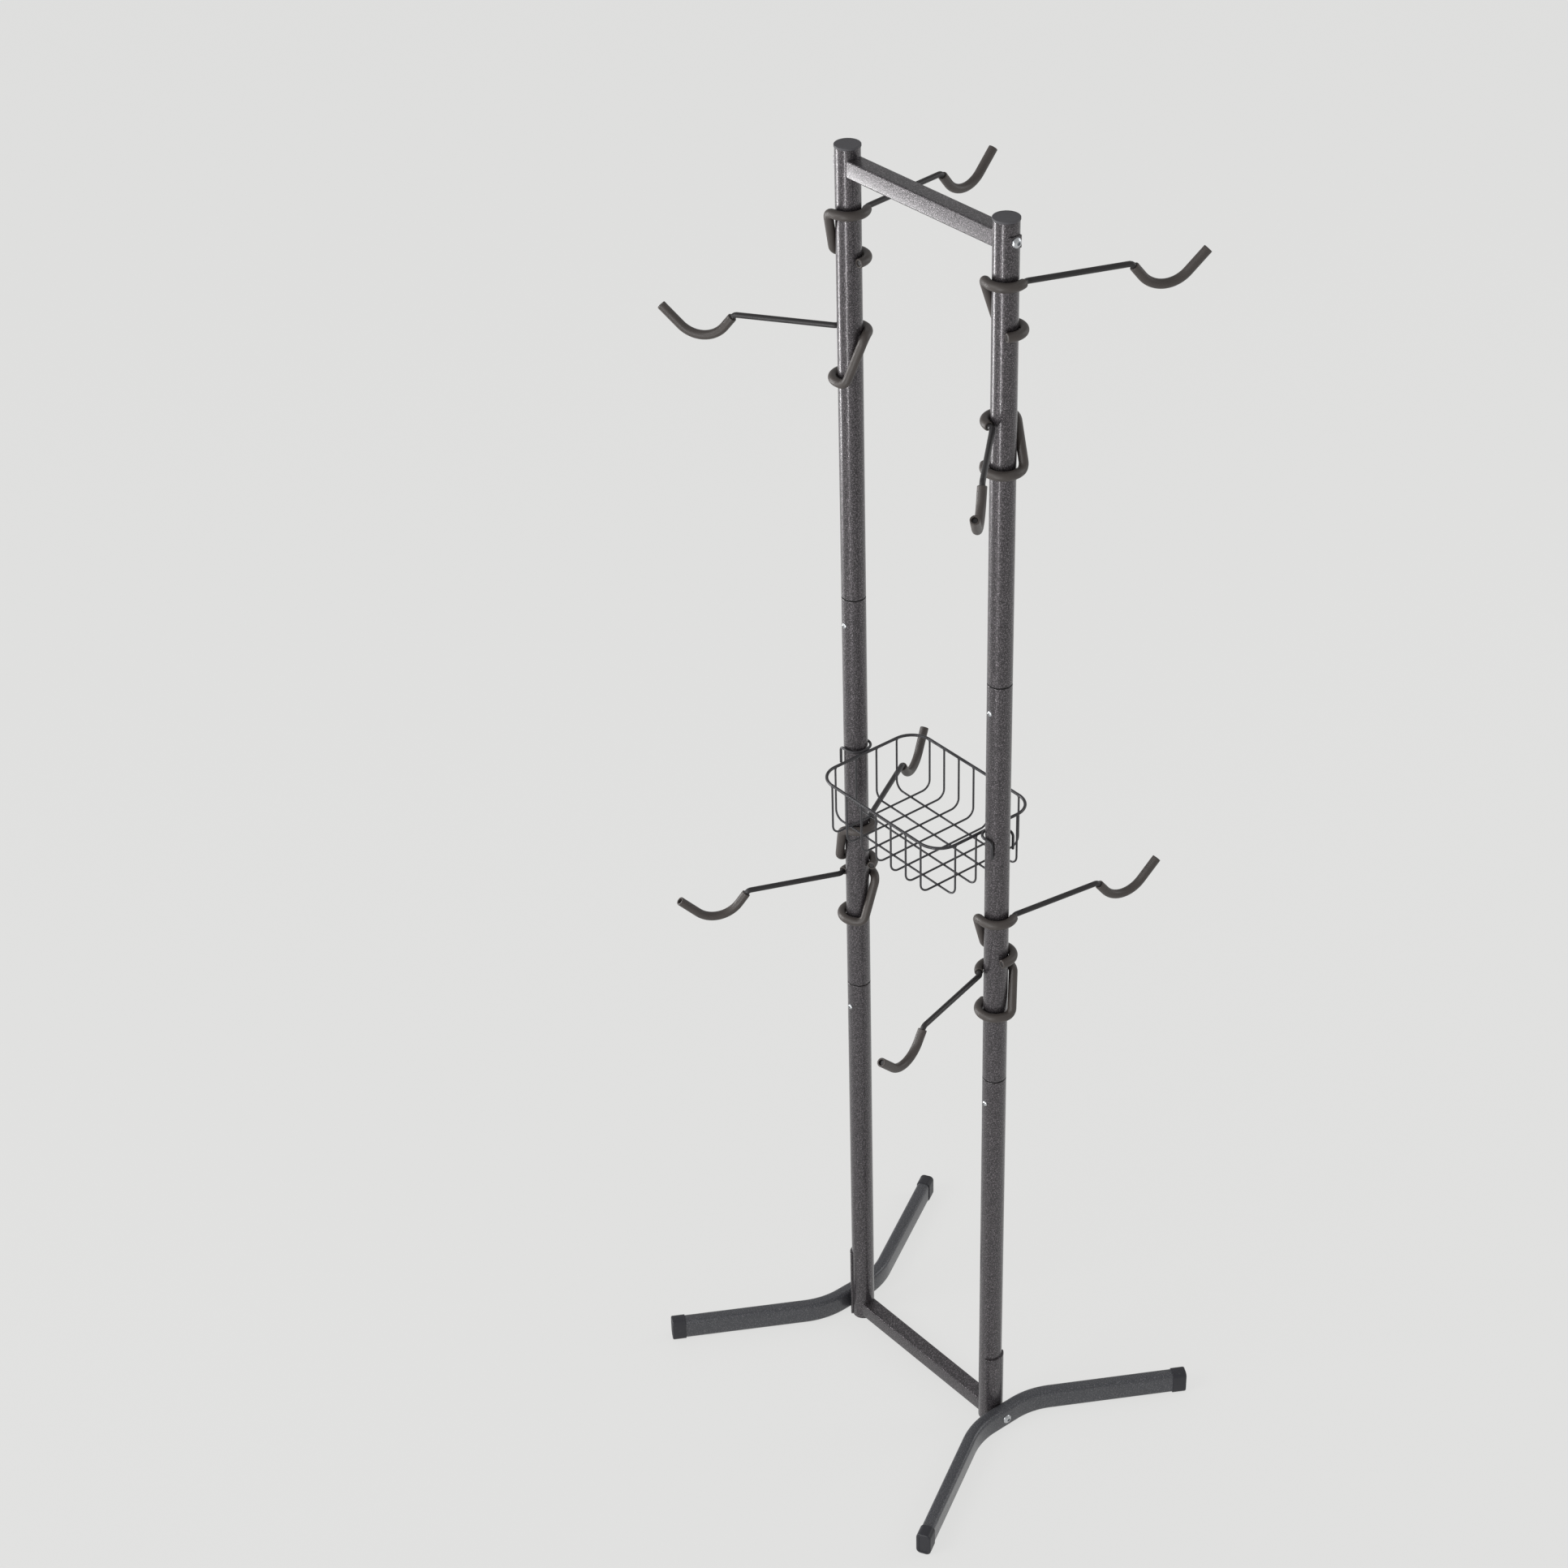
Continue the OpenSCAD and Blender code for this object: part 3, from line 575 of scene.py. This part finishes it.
for group in ("top", "bottom"):
    z = middle_of(f"{group}_crossbar").z
    line = BentLine([(-POST_X + POST_R, 0, z), (POST_X - POST_R, 0, z)], [], (0, 1, 0))
    mesh = sweep(bmesh.new(), line, [(0, 0), (line.length, 0)],
                 oblong_section(BAR, BAR, BAR_CORNER))
    for vert in mesh.verts:
        if abs(vert.co.x) > POST_X - POST_R - GUARD / 2:
            to_axis = math.sqrt(POST_R ** 2 - vert.co.y ** 2) - BITE
            vert.co.x = math.copysign(POST_X - to_axis, vert.co.x)
    make_piece(group, "crossbar", mesh, "frame", hammered)
print(f"bars {BAR * 1000:.0f} mm square")

# %% [markdown]
# ## Legs
#
# Each leg is one length of oblong tube, straight where the post stands and bent outwards by 30
# degrees towards both ends. A curved saddle plate keeps it off the post.

# %% Bent legs
SADDLE_WALL = 3 * MM
LEG_W, LEG_H, LEG_CORNER = 20 * MM, 36 * MM, 6 * MM
LEG_BEND, LEG_SPLAY = 120 * MM, math.radians(30)
LEG_REACH, LEG_BEND_Y = 273 * MM, 56 * MM
LEG_X = POST_X + POST_R + SADDLE_WALL + LEG_W / 2
LEG_Z = middle_of("right_leg").z
FOOT_WALL, FOOT_LEN, FOOT_END = 1.5 * MM, 22 * MM, 3 * MM


def leg_line(sign, trim):
    """Middle line of a leg, its ends cut back by a trim"""
    outwards = Vector((math.sin(LEG_SPLAY), math.cos(LEG_SPLAY), 0))
    run = (LEG_REACH - LEG_BEND_Y) / math.cos(LEG_SPLAY) - trim
    corner = Vector((LEG_X, LEG_BEND_Y, LEG_Z))
    far = corner + outwards * run
    half = [(sign * far.x, far.y, far.z), (sign * corner.x, corner.y, corner.z)]
    corners = [(x, -y, z) for x, y, z in half] + half[::-1]
    return BentLine(corners, [LEG_BEND, LEG_BEND], (1, 0, 0))


for side, sign in SIDES.items():
    line = leg_line(sign, FOOT_END)
    mesh = sweep(bmesh.new(), line, [(0, 0), (line.length, 0)],
                 oblong_section(LEG_W, LEG_H, LEG_CORNER))
    make_piece(side, "leg", mesh, "frame", leg_coat)
    print(f"{side} leg is {line.length * 1000:.0f} mm long")

# %% [markdown]
# Black caps close the ends. A cap has a lip where it meets the tube and a face set back inside a
# raised rim, which shows as a dark oval line.

# %% Caps on the legs' ends
FOOT_LIP, FOOT_SHOULDER, FOOT_RIM, FOOT_DIP = 0.6 * MM, 2.2 * MM, 2.4 * MM, 0.7 * MM
FOOT_MOUTH, FOOT_FACE = 2 * MM, 1.5 * MM
foot_section = oblong_section(LEG_W + 2 * FOOT_WALL, LEG_H + 2 * FOOT_WALL,
                              LEG_CORNER + FOOT_WALL, steps=8)


def foot_outline(end, towards):
    """From inside the cap's mouth, over its lip and side to the face in its rim"""
    mouth = end - towards * FOOT_LEN
    steps = [(mouth + towards * FOOT_MOUTH, FOOT_WALL), (mouth, FOOT_WALL), (mouth, FOOT_LIP),
             (mouth + towards * 0.25 * FOOT_LIP, 0.3 * FOOT_LIP),
             (mouth + towards * FOOT_LIP, 0)]
    steps += [(end - towards * FOOT_SHOULDER * (1 - math.sin(a)),
               FOOT_SHOULDER * (1 - math.cos(a))) for a in quarter_turn(5)]
    face, rim = end - towards * FOOT_DIP, FOOT_SHOULDER + FOOT_RIM
    return steps + [(end, rim), (face, rim + 0.5 * FOOT_DIP), (face, rim + FOOT_FACE)]


for side, sign in SIDES.items():
    line = leg_line(sign, 0)
    for end, at, towards in [("front", 0, -1), ("rear", line.length, 1)]:
        mesh = sweep(bmesh.new(), line, foot_outline(at, towards), foot_section)
        make_piece(side, f"{end}_foot", mesh, "frame", foot_plastic)
print("leg caps made: 4")

# %% [markdown]
# ## Saddles
#
# Between each post and its leg sits a curved steel plate, a slice of a wider tube, which spreads
# the pull of the bolt. Its section is a thick arc with rounded long edges, and the sweep draws it
# in a little at the top and bottom.

# %% Saddle plates
SADDLE_OPEN, SADDLE_STEPS = math.radians(130), 32
SADDLE_EDGE, SADDLE_LIFT, SADDLE_TAPER = 0.9 * MM, 0.05 * MM, 10 * MM
saddle_low, saddle_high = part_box("right_saddle")
saddle_height = saddle_high.z - saddle_low.z


def saddle_section(sign):
    """Thick arc round the post, its size how far it is drawn in"""
    def draw(inset):
        outer, inner = POST_R + SADDLE_WALL - inset, POST_R + SADDLE_LIFT
        spread = SADDLE_OPEN * (1 - inset / SADDLE_TAPER)
        front = [(outer, spread * (i / SADDLE_STEPS - 0.5)) for i in range(SADDLE_STEPS + 1)]
        last, edge_turn = front[-1][1], SADDLE_EDGE / POST_R
        edge = [(outer - 0.3 * SADDLE_EDGE, last + 0.7 * edge_turn),
                (outer - SADDLE_EDGE, last + edge_turn), (inner, last + edge_turn)]
        back = [(inner, a) for _, a in reversed(front)]
        ring = front + edge + back + [(r, -a) for r, a in reversed(edge)]
        return [(sign * r * math.cos(a), r * math.sin(a)) for r, a in ring]
    return draw


lower_end = [(0, 0.7 * MM), (0.2 * MM, 0.2 * MM), (0.7 * MM, 0)]
outline = lower_end + [(saddle_height - s, inset) for s, inset in reversed(lower_end)]
for side, sign in SIDES.items():
    mesh = sweep(bmesh.new(), upright(sign * POST_X, saddle_low.z, saddle_high.z), outline,
                 saddle_section(sign))
    make_piece(side, "saddle", mesh, "frame", hammered)
print(f"saddles {saddle_height * 1000:.0f} mm high")

# %% [markdown]
# ## Bolts, screws, washers and plugs
#
# These small pieces are already exact in the CAD model, with their hexagon sockets and cross
# slots, so they keep their shapes and only get their finishes.

# %% Finish the fittings that stay as they are
def finish_node(node, finish):
    """Gives a CAD node a material in place of its plain one"""
    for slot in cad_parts[node].material_slots:
        slot.link = "OBJECT"
        slot.material = finish.material


plated = ["top_bar_plugs", "bottom_bar_plugs"]
painted = []
for side in SIDES:
    plated += [f"{side}_{name}" for name in ("leg_bolt", "top_bolt", "lower_screw", "upper_screw")]
    painted.append(f"{side}_top_washer")
for node in plated:
    finish_node(node, zinc)
for node in painted:
    finish_node(node, hammered)
print("fittings finished:", len(plated + painted))

# %% [markdown]
# ## Hooks
#
# A hook is one steel rod. It winds once and a quarter round the post in a steep slope, so that a
# load on its end locks it by friction, then runs out straight and ends in an open cradle. Two soft
# sleeves cover it where it touches the post and where it carries its load.
#
# All eight hooks are the same. The line is set out once, with its arm along +X from a post at the
# origin, and each hook turns it to its own bearing. On the grip, the corners are the points
# where the tangents of the turns meet.

# %% Set out the hook's line
ROD_R, SLEEVE_R, SLEEVE_AIR = 4 * MM, 6.5 * MM, 0.3 * MM
GRIP_R = POST_R + SLEEVE_AIR + SLEEVE_R
GRIP_DROP = 68 * MM
GRIP_EXIT = math.radians(45)
GRIP_TAIL = 6 * MM
SLOPE_R, SLOPE_HALF = 12 * MM, math.radians(30)
EXIT_RUN, EXIT_R = 3 * MM, 10 * MM
ARM_LEN, ARM_R = 165 * MM, 8 * MM
CRADLE_R, CRADLE_FALL, CRADLE_RISE = 42 * MM, 24 * MM, 38 * MM
CRADLE_IN, CRADLE_OUT = math.radians(52), math.radians(45)
SLEEVE_PAST, TIP_BORE = 1 * MM, 4 * MM


def grip_corner(bearing, half, z):
    """Corner outside a turn of the grip, seen from the post on a bearing"""
    reach = GRIP_R / math.cos(half)
    return Vector((reach * math.cos(bearing), reach * math.sin(bearing), z))


upper_half = (math.pi - GRIP_EXIT) / 2
lower_half = (math.radians(270) - 4 * SLOPE_HALF) / 2
grip_start = Vector((GRIP_R * math.cos(GRIP_EXIT), -GRIP_R * math.sin(GRIP_EXIT), 0))
grip_corners = [
    grip_corner(-GRIP_EXIT - upper_half, upper_half, 0),
    grip_corner(-math.pi - SLOPE_HALF, SLOPE_HALF, 0),
    grip_corner(-math.pi - 3 * SLOPE_HALF, SLOPE_HALF, -GRIP_DROP),
    grip_corner(-math.radians(450) + lower_half, lower_half, -GRIP_DROP),
]
grip_radii = [GRIP_R, SLOPE_R, SLOPE_R, GRIP_R]
rod_end = Vector((-GRIP_TAIL, -GRIP_R, -GRIP_DROP))

heading = Vector((math.sin(GRIP_EXIT), math.cos(GRIP_EXIT), 0))
exit_trim = EXIT_R * math.tan((math.pi / 2 - GRIP_EXIT) / 2)
exit_corner = grip_start + heading * (EXIT_RUN + exit_trim)
arm_end = Vector((ARM_LEN, exit_corner.y, 0))
down = Vector((math.cos(CRADLE_IN), 0, -math.sin(CRADLE_IN)))
rise = Vector((math.cos(CRADLE_OUT), 0, math.sin(CRADLE_OUT)))
trim = CRADLE_R * math.tan((CRADLE_IN + CRADLE_OUT) / 2)
cradle_corner = arm_end + down * (CRADLE_FALL + trim)
tip = cradle_corner + rise * (trim + CRADLE_RISE)
sleeve_start = arm_end + down * (ARM_R * math.tan(CRADLE_IN / 2) + SLEEVE_PAST)
print("the tip is", [round(v * 1000) for v in tip], "mm from where the grip starts")

# %% [markdown]
# A sleeve's outline starts inside its bore, comes out over a soft lip and goes back in at the far
# end. Where the rod stops short of the cradle's tip, the bore shows as the dark hole that the
# real hooks have.

# %% Outlines of rod and sleeve
ROD_CUT = 0.6 * MM
SLEEVE_LIP, SLEEVE_DEPTH = 1.1 * MM, 9 * MM
MOUTH_LONG, MOUTH_WIDE = 0.5 * MM, 0.4 * MM


def rod_outline(length):
    """Rod with small chamfers at both ends"""
    return chamfered(length, ROD_R, ROD_CUT)


def sleeve_outline(length):
    """Sleeve with a rounded lip at both ends"""
    start = [(SLEEVE_DEPTH, ROD_R), (MOUTH_LONG, ROD_R), (0, ROD_R + MOUTH_WIDE)]
    start += [(SLEEVE_LIP * (1 - math.cos(a)), SLEEVE_R - SLEEVE_LIP + SLEEVE_LIP * math.sin(a))
              for a in quarter_turn(4)]
    return start + [(length - s, r) for s, r in reversed(start)]


sleeve_round = round_section(32)
HOOK_PARTS = {
    "rod": ([tip - rise * TIP_BORE, cradle_corner, arm_end, exit_corner, *grip_corners, rod_end],
            [CRADLE_R, ARM_R, EXIT_R, *grip_radii], rod_outline, round_section(24), rod_coat),
    "grip": ([grip_start, *grip_corners, rod_end - Vector((SLEEVE_PAST, 0, 0))],
             grip_radii, sleeve_outline, sleeve_round, vinyl),
    "cradle": ([sleeve_start, cradle_corner, tip],
               [CRADLE_R], sleeve_outline, sleeve_round, vinyl),
}

# %% Eight hooks on their posts
TURNS = {"left_hook_1": 96, "left_hook_2": 215, "left_hook_3": 120, "left_hook_4": 247,
         "right_hook_1": 69, "right_hook_2": -47, "right_hook_3": 82, "right_hook_4": -75}

lengths = {}
for hook, turn in TURNS.items():
    sign = SIDES[hook.split("_")[0]]
    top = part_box(f"{hook}_grip")[1].z - SLEEVE_R
    spot = Matrix.Translation((sign * POST_X, 0, top)) @ Matrix.Rotation(math.radians(turn), 4, "Z")
    for part, (corners, radii, outline, section, finish) in HOOK_PARTS.items():
        line = BentLine([spot @ corner for corner in corners], radii, (0, 0, 1))
        lengths[part] = line.length
        mesh = sweep(bmesh.new(), line, outline(line.length), section)
        make_piece(hook, part, mesh, hook, finish)
print(f"hooks made: {len(TURNS)}, each from {lengths['rod'] * 1000:.0f} mm of rod")

# %% [markdown]
# ## Basket
#
# The basket is spot-welded wire. A thick rim carries four wires that run from post to post and
# seven that cross them, all bent into flat-bottomed U shapes. At each end a staple lies on the
# rim and its two prongs hold the post. Where wires cross, the weld leaves a small flattened bead,
# and each wire ends in the rim.

# %% Measure the basket
RIM_R, WIRE_R, HANGER_R = 2.25 * MM, 1.5 * MM, 2 * MM
rim_low, rim_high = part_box("basket_rim")
RIM_X = (rim_high.x - rim_low.x) / 2 - RIM_R
RIM_Y = (rim_high.y - rim_low.y) / 2 - RIM_R
RIM_Z = (rim_high.z + rim_low.z) / 2
RIM_CORNER, WIRE_BEND = 34 * MM, 14 * MM
DEPTH = RIM_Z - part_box("basket_long_wires")[0].z - WIRE_R


def spread(reach, count):
    """Even places from -reach to reach"""
    return [-reach * (1 - 2 * i / (count - 1)) for i in range(count)]


LONG_Y = spread(RIM_Y - RIM_CORNER, 4)
CROSS_X = spread(RIM_X - RIM_CORNER, 7)
print(f"rim {RIM_X * 2000:.0f} x {RIM_Y * 2000:.0f} mm between wire middles, "
      f"{DEPTH * 1000:.0f} deep")

# %% Beads of weld and hung wires
WIRE_TAPER, WIRE_TAPER_LEN = 0.7, 1 * MM


def bead(mesh, middle, size):
    """Small flattened bead of weld"""
    place = Matrix.Translation(middle) @ Matrix.Diagonal((*size, 1))
    bmesh.ops.create_icosphere(mesh, subdivisions=2, radius=1, matrix=place)


def hung_wire(mesh, start, end, depth):
    """Wire that hangs between two points of the rim as a flat-bottomed U"""
    start, end = Vector(start), Vector(end)
    low = Vector((0, 0, -depth))
    line = BentLine([start, start + low, end + low, end], [WIRE_BEND, WIRE_BEND],
                    (end - start).normalized().cross((0, 0, 1)))
    outline = [(0, WIRE_R * WIRE_TAPER), (WIRE_TAPER_LEN, WIRE_R),
               (line.length - WIRE_TAPER_LEN, WIRE_R), (line.length, WIRE_R * WIRE_TAPER)]
    sweep(mesh, line, outline, round_section(14))
    for foot in (start, end):
        bead(mesh, foot + Vector((0, 0, -RIM_R)), (WIRE_R * 1.5, WIRE_R * 1.5, WIRE_R * 0.9))

# %% Rim and wires
rim = BentLine([(0, -RIM_Y, RIM_Z), (RIM_X, -RIM_Y, RIM_Z), (RIM_X, RIM_Y, RIM_Z),
                (-RIM_X, RIM_Y, RIM_Z), (-RIM_X, -RIM_Y, RIM_Z), (0, -RIM_Y, RIM_Z)],
               [RIM_CORNER] * 4, (0, 0, 1))
mesh = sweep(bmesh.new(), rim, [(0, RIM_R), (rim.length, RIM_R)], round_section(20), joined=True)
bead(mesh, (0, -RIM_Y, RIM_Z), (1.6 * MM, RIM_R * 1.05, RIM_R * 1.05))
make_piece("basket", "rim", mesh, "basket", wire_coat)

mesh = bmesh.new()
for y in LONG_Y:
    hung_wire(mesh, (-RIM_X, y, RIM_Z), (RIM_X, y, RIM_Z), DEPTH)
make_piece("basket", "long_wires", mesh, "basket", wire_coat)

mesh = bmesh.new()
for x in CROSS_X:
    hung_wire(mesh, (x, -RIM_Y, RIM_Z), (x, RIM_Y, RIM_Z), DEPTH - 2 * WIRE_R)
    for y in LONG_Y:
        bead(mesh, (x, y, RIM_Z - DEPTH + WIRE_R), (WIRE_R * 1.1, WIRE_R * 1.1, WIRE_R * 0.7))
make_piece("basket", "cross_wires", mesh, "basket", wire_coat)
print(f"rim {rim.length * 1000:.0f} mm round, wires made: {len(LONG_Y) + len(CROSS_X)}")

# %% Hangers that hold the posts
HANGER_BEND, PRONG_BEND, HANGER_CUT = 16 * MM, 6 * MM, 0.5 * MM
HANGER_BEAD = (1.3 * MM, 2.6 * MM, 1.0 * MM)
BEAD_Y = 0.06 * RIM_Y

for side, sign in SIDES.items():
    low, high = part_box(f"basket_{side}_hanger")
    z = high.z - HANGER_R
    prong_y = high.y - HANGER_R
    prong_x = max(abs(low.x), abs(high.x)) - HANGER_R
    root_x = min(abs(low.x), abs(high.x)) + HANGER_R
    half = [(sign * root_x, prong_y, z), (sign * prong_x, prong_y, z),
            (sign * prong_x, prong_y, low.z)]
    corners = [(x, -y, corner_z) for x, y, corner_z in half[::-1]] + half
    line = BentLine(corners, [PRONG_BEND, HANGER_BEND, HANGER_BEND, PRONG_BEND], (1, 0, 0))
    mesh = sweep(bmesh.new(), line, chamfered(line.length, HANGER_R, HANGER_CUT),
                 round_section(18))
    for y in (-BEAD_Y, BEAD_Y):
        bead(mesh, (sign * (RIM_X + root_x) / 2, y, (RIM_Z + z) / 2), HANGER_BEAD)
    make_piece("basket", f"{side}_hanger", mesh, "basket", wire_coat)
print(f"hangers made: 2, each from {line.length * 1000:.0f} mm of wire")

# %% [markdown]
# ## Studio
#
# The rack stands on a pale floor without an end. The floor is ordinary matt paint, so that it
# takes the rack's soft shadow. For the camera, and for what metal shows of it, most of its light
# is its own, which keeps the background even from edge to edge.

# %% Floor
PALE = screen(230, 230, 229)
SELF_LIT = 0.85
FLOOR_REACH = 150


def rays_of(nodes, *kinds):
    """1 for rays of the given kinds and 0 for others"""
    total, *others = [nodes.node("ShaderNodeLightPath", out=kind) for kind in kinds]
    for other in others:
        total = nodes.maths("MAXIMUM", total, other)
    return total


floor_paint = Finish("pale_floor", Roughness=0.9, Specular_IOR_Level=0.1)
floor_paint.set("Base Color", floor_paint.blend(
    floor_paint.grain(0.7), screen(226, 226, 225), screen(229, 229, 228)))
seen = rays_of(floor_paint, "Is Camera Ray", "Is Glossy Ray", "Is Transmission Ray")
floor_look = floor_paint.node("ShaderNodeMixShader", sockets={
    0: SELF_LIT * seen,
    1: Value(floor_paint, floor_paint.shader.outputs[0]),
    2: floor_paint.node("ShaderNodeEmission", sockets={"Color": PALE})})
floor_paint.fill(floor_paint.tree.nodes["Material Output"].inputs["Surface"], floor_look)

mesh = bmesh.new()
bmesh.ops.create_grid(mesh, x_segments=4, y_segments=4, size=FLOOR_REACH)
floor = mesh_object("floor", mesh, floor_paint)
print(f"floor {FLOOR_REACH * 2} m wide")

# %% [markdown]
# The world lights the rack evenly from all sides. The camera sees the floor's own pale tone there,
# so that the floor has no far edge.

# %% World
LIGHT_LEVEL = 0.5

world = bpy.data.worlds.new("studio")
bpy.context.scene.world = world
world.use_nodes = True
sky = Nodes(world.node_tree)
even_light = sky.tree.nodes["Background"]
sky.fill(even_light.inputs["Color"], (LIGHT_LEVEL, LIGHT_LEVEL, LIGHT_LEVEL, 1))
sky_look = sky.node("ShaderNodeMixShader", sockets={
    0: rays_of(sky, "Is Camera Ray"),
    1: Value(sky, even_light.outputs[0]),
    2: sky.node("ShaderNodeBackground", sockets={"Color": PALE})})
sky.fill(sky.tree.nodes["World Output"].inputs["Surface"], sky_look)
print("even light from all sides:", LIGHT_LEVEL)

# %% [markdown]
# A large soft box high on the left is the main light and a smaller one fills in from the far
# right. The posts are seen from above, so a post mirrors only what stands low beside it: two
# upright strips near the floor draw the bright lines along the upper posts. They don't light the
# floor, which would show them.

# %% Lamps
AIM_HEIGHT = 1.2


def soft_lamp(name, bearing, reach, low, high, width, brightness):
    """Upright soft box on a bearing from the rack, facing its axis, its brightness 1 for white"""
    light = bpy.data.lights.new(name, "AREA")
    light.shape = "RECTANGLE"
    light.size, light.size_y = width, high - low
    light.energy = brightness * math.pi * width * (high - low)
    lamp = add_object(name, light)
    a = math.radians(bearing)
    spot = Vector((reach * math.cos(a), reach * math.sin(a), (low + high) / 2))
    aim = Vector((0, 0, min(spot.z, AIM_HEIGHT)))
    lamp.location = spot
    lamp.rotation_euler = (aim - spot).to_track_quat("-Z", "Y").to_euler()
    lamp.visible_camera = False
    return lamp


soft_lamp("key_box", bearing=-100, reach=4.6, low=2.6, high=5.0, width=2.6, brightness=4.2)
soft_lamp("side_box", bearing=66, reach=4.4, low=1.6, high=3.8, width=1.8, brightness=2.6)
strips = [
    soft_lamp("narrow_strip", bearing=-68, reach=2.9, low=0.05, high=2.3, width=0.2, brightness=26),
    soft_lamp("wide_strip", bearing=-147, reach=2.9, low=0.05, high=2.3, width=0.5, brightness=16),
]
spared = bpy.data.collections.new("not_lit_by_strips")
spared.objects.link(floor)
spared.collection_objects[0].light_linking.link_state = "EXCLUDE"
for strip in strips:
    strip.light_linking.receiver_collection = spared
print("lamps: 2 soft boxes and", len(strips), "strips")

# %% [markdown]
# ## Camera
#
# The camera looks down on the rack from its front right corner, from about five metres away. Its
# place was worked out from the posts' tops, seams and feet in the photograph, so it is given as
# numbers: where it stands, and its bearing, fall and roll in degrees.

# %% Camera
STAND = (2.9830, -2.5922, 3.7506)
BEARING, FALL, ROLL = (math.radians(v) for v in (38.093, 33.708, 1.623))
SENSOR, LENS = 36, 77.05

ahead = Vector((-math.cos(BEARING) * math.cos(FALL), math.sin(BEARING) * math.cos(FALL),
                -math.sin(FALL)))
right = Vector((math.sin(BEARING), math.cos(BEARING), 0))
below = ahead.cross(right)
rolled_right = math.cos(ROLL) * right + math.sin(ROLL) * below
rolled_below = math.cos(ROLL) * below - math.sin(ROLL) * right
camera_data = bpy.data.cameras.new("camera")
camera_data.sensor_width, camera_data.lens = SENSOR, LENS
camera = add_object("camera", camera_data)
turned = Matrix((rolled_right, -rolled_below, -ahead)).transposed().to_4x4()
camera.matrix_world = Matrix.Translation(STAND) @ turned
bpy.context.scene.camera = camera
bpy.context.scene.view_settings.view_transform = "Standard"
print("camera at", [round(v, 3) for v in camera.location])
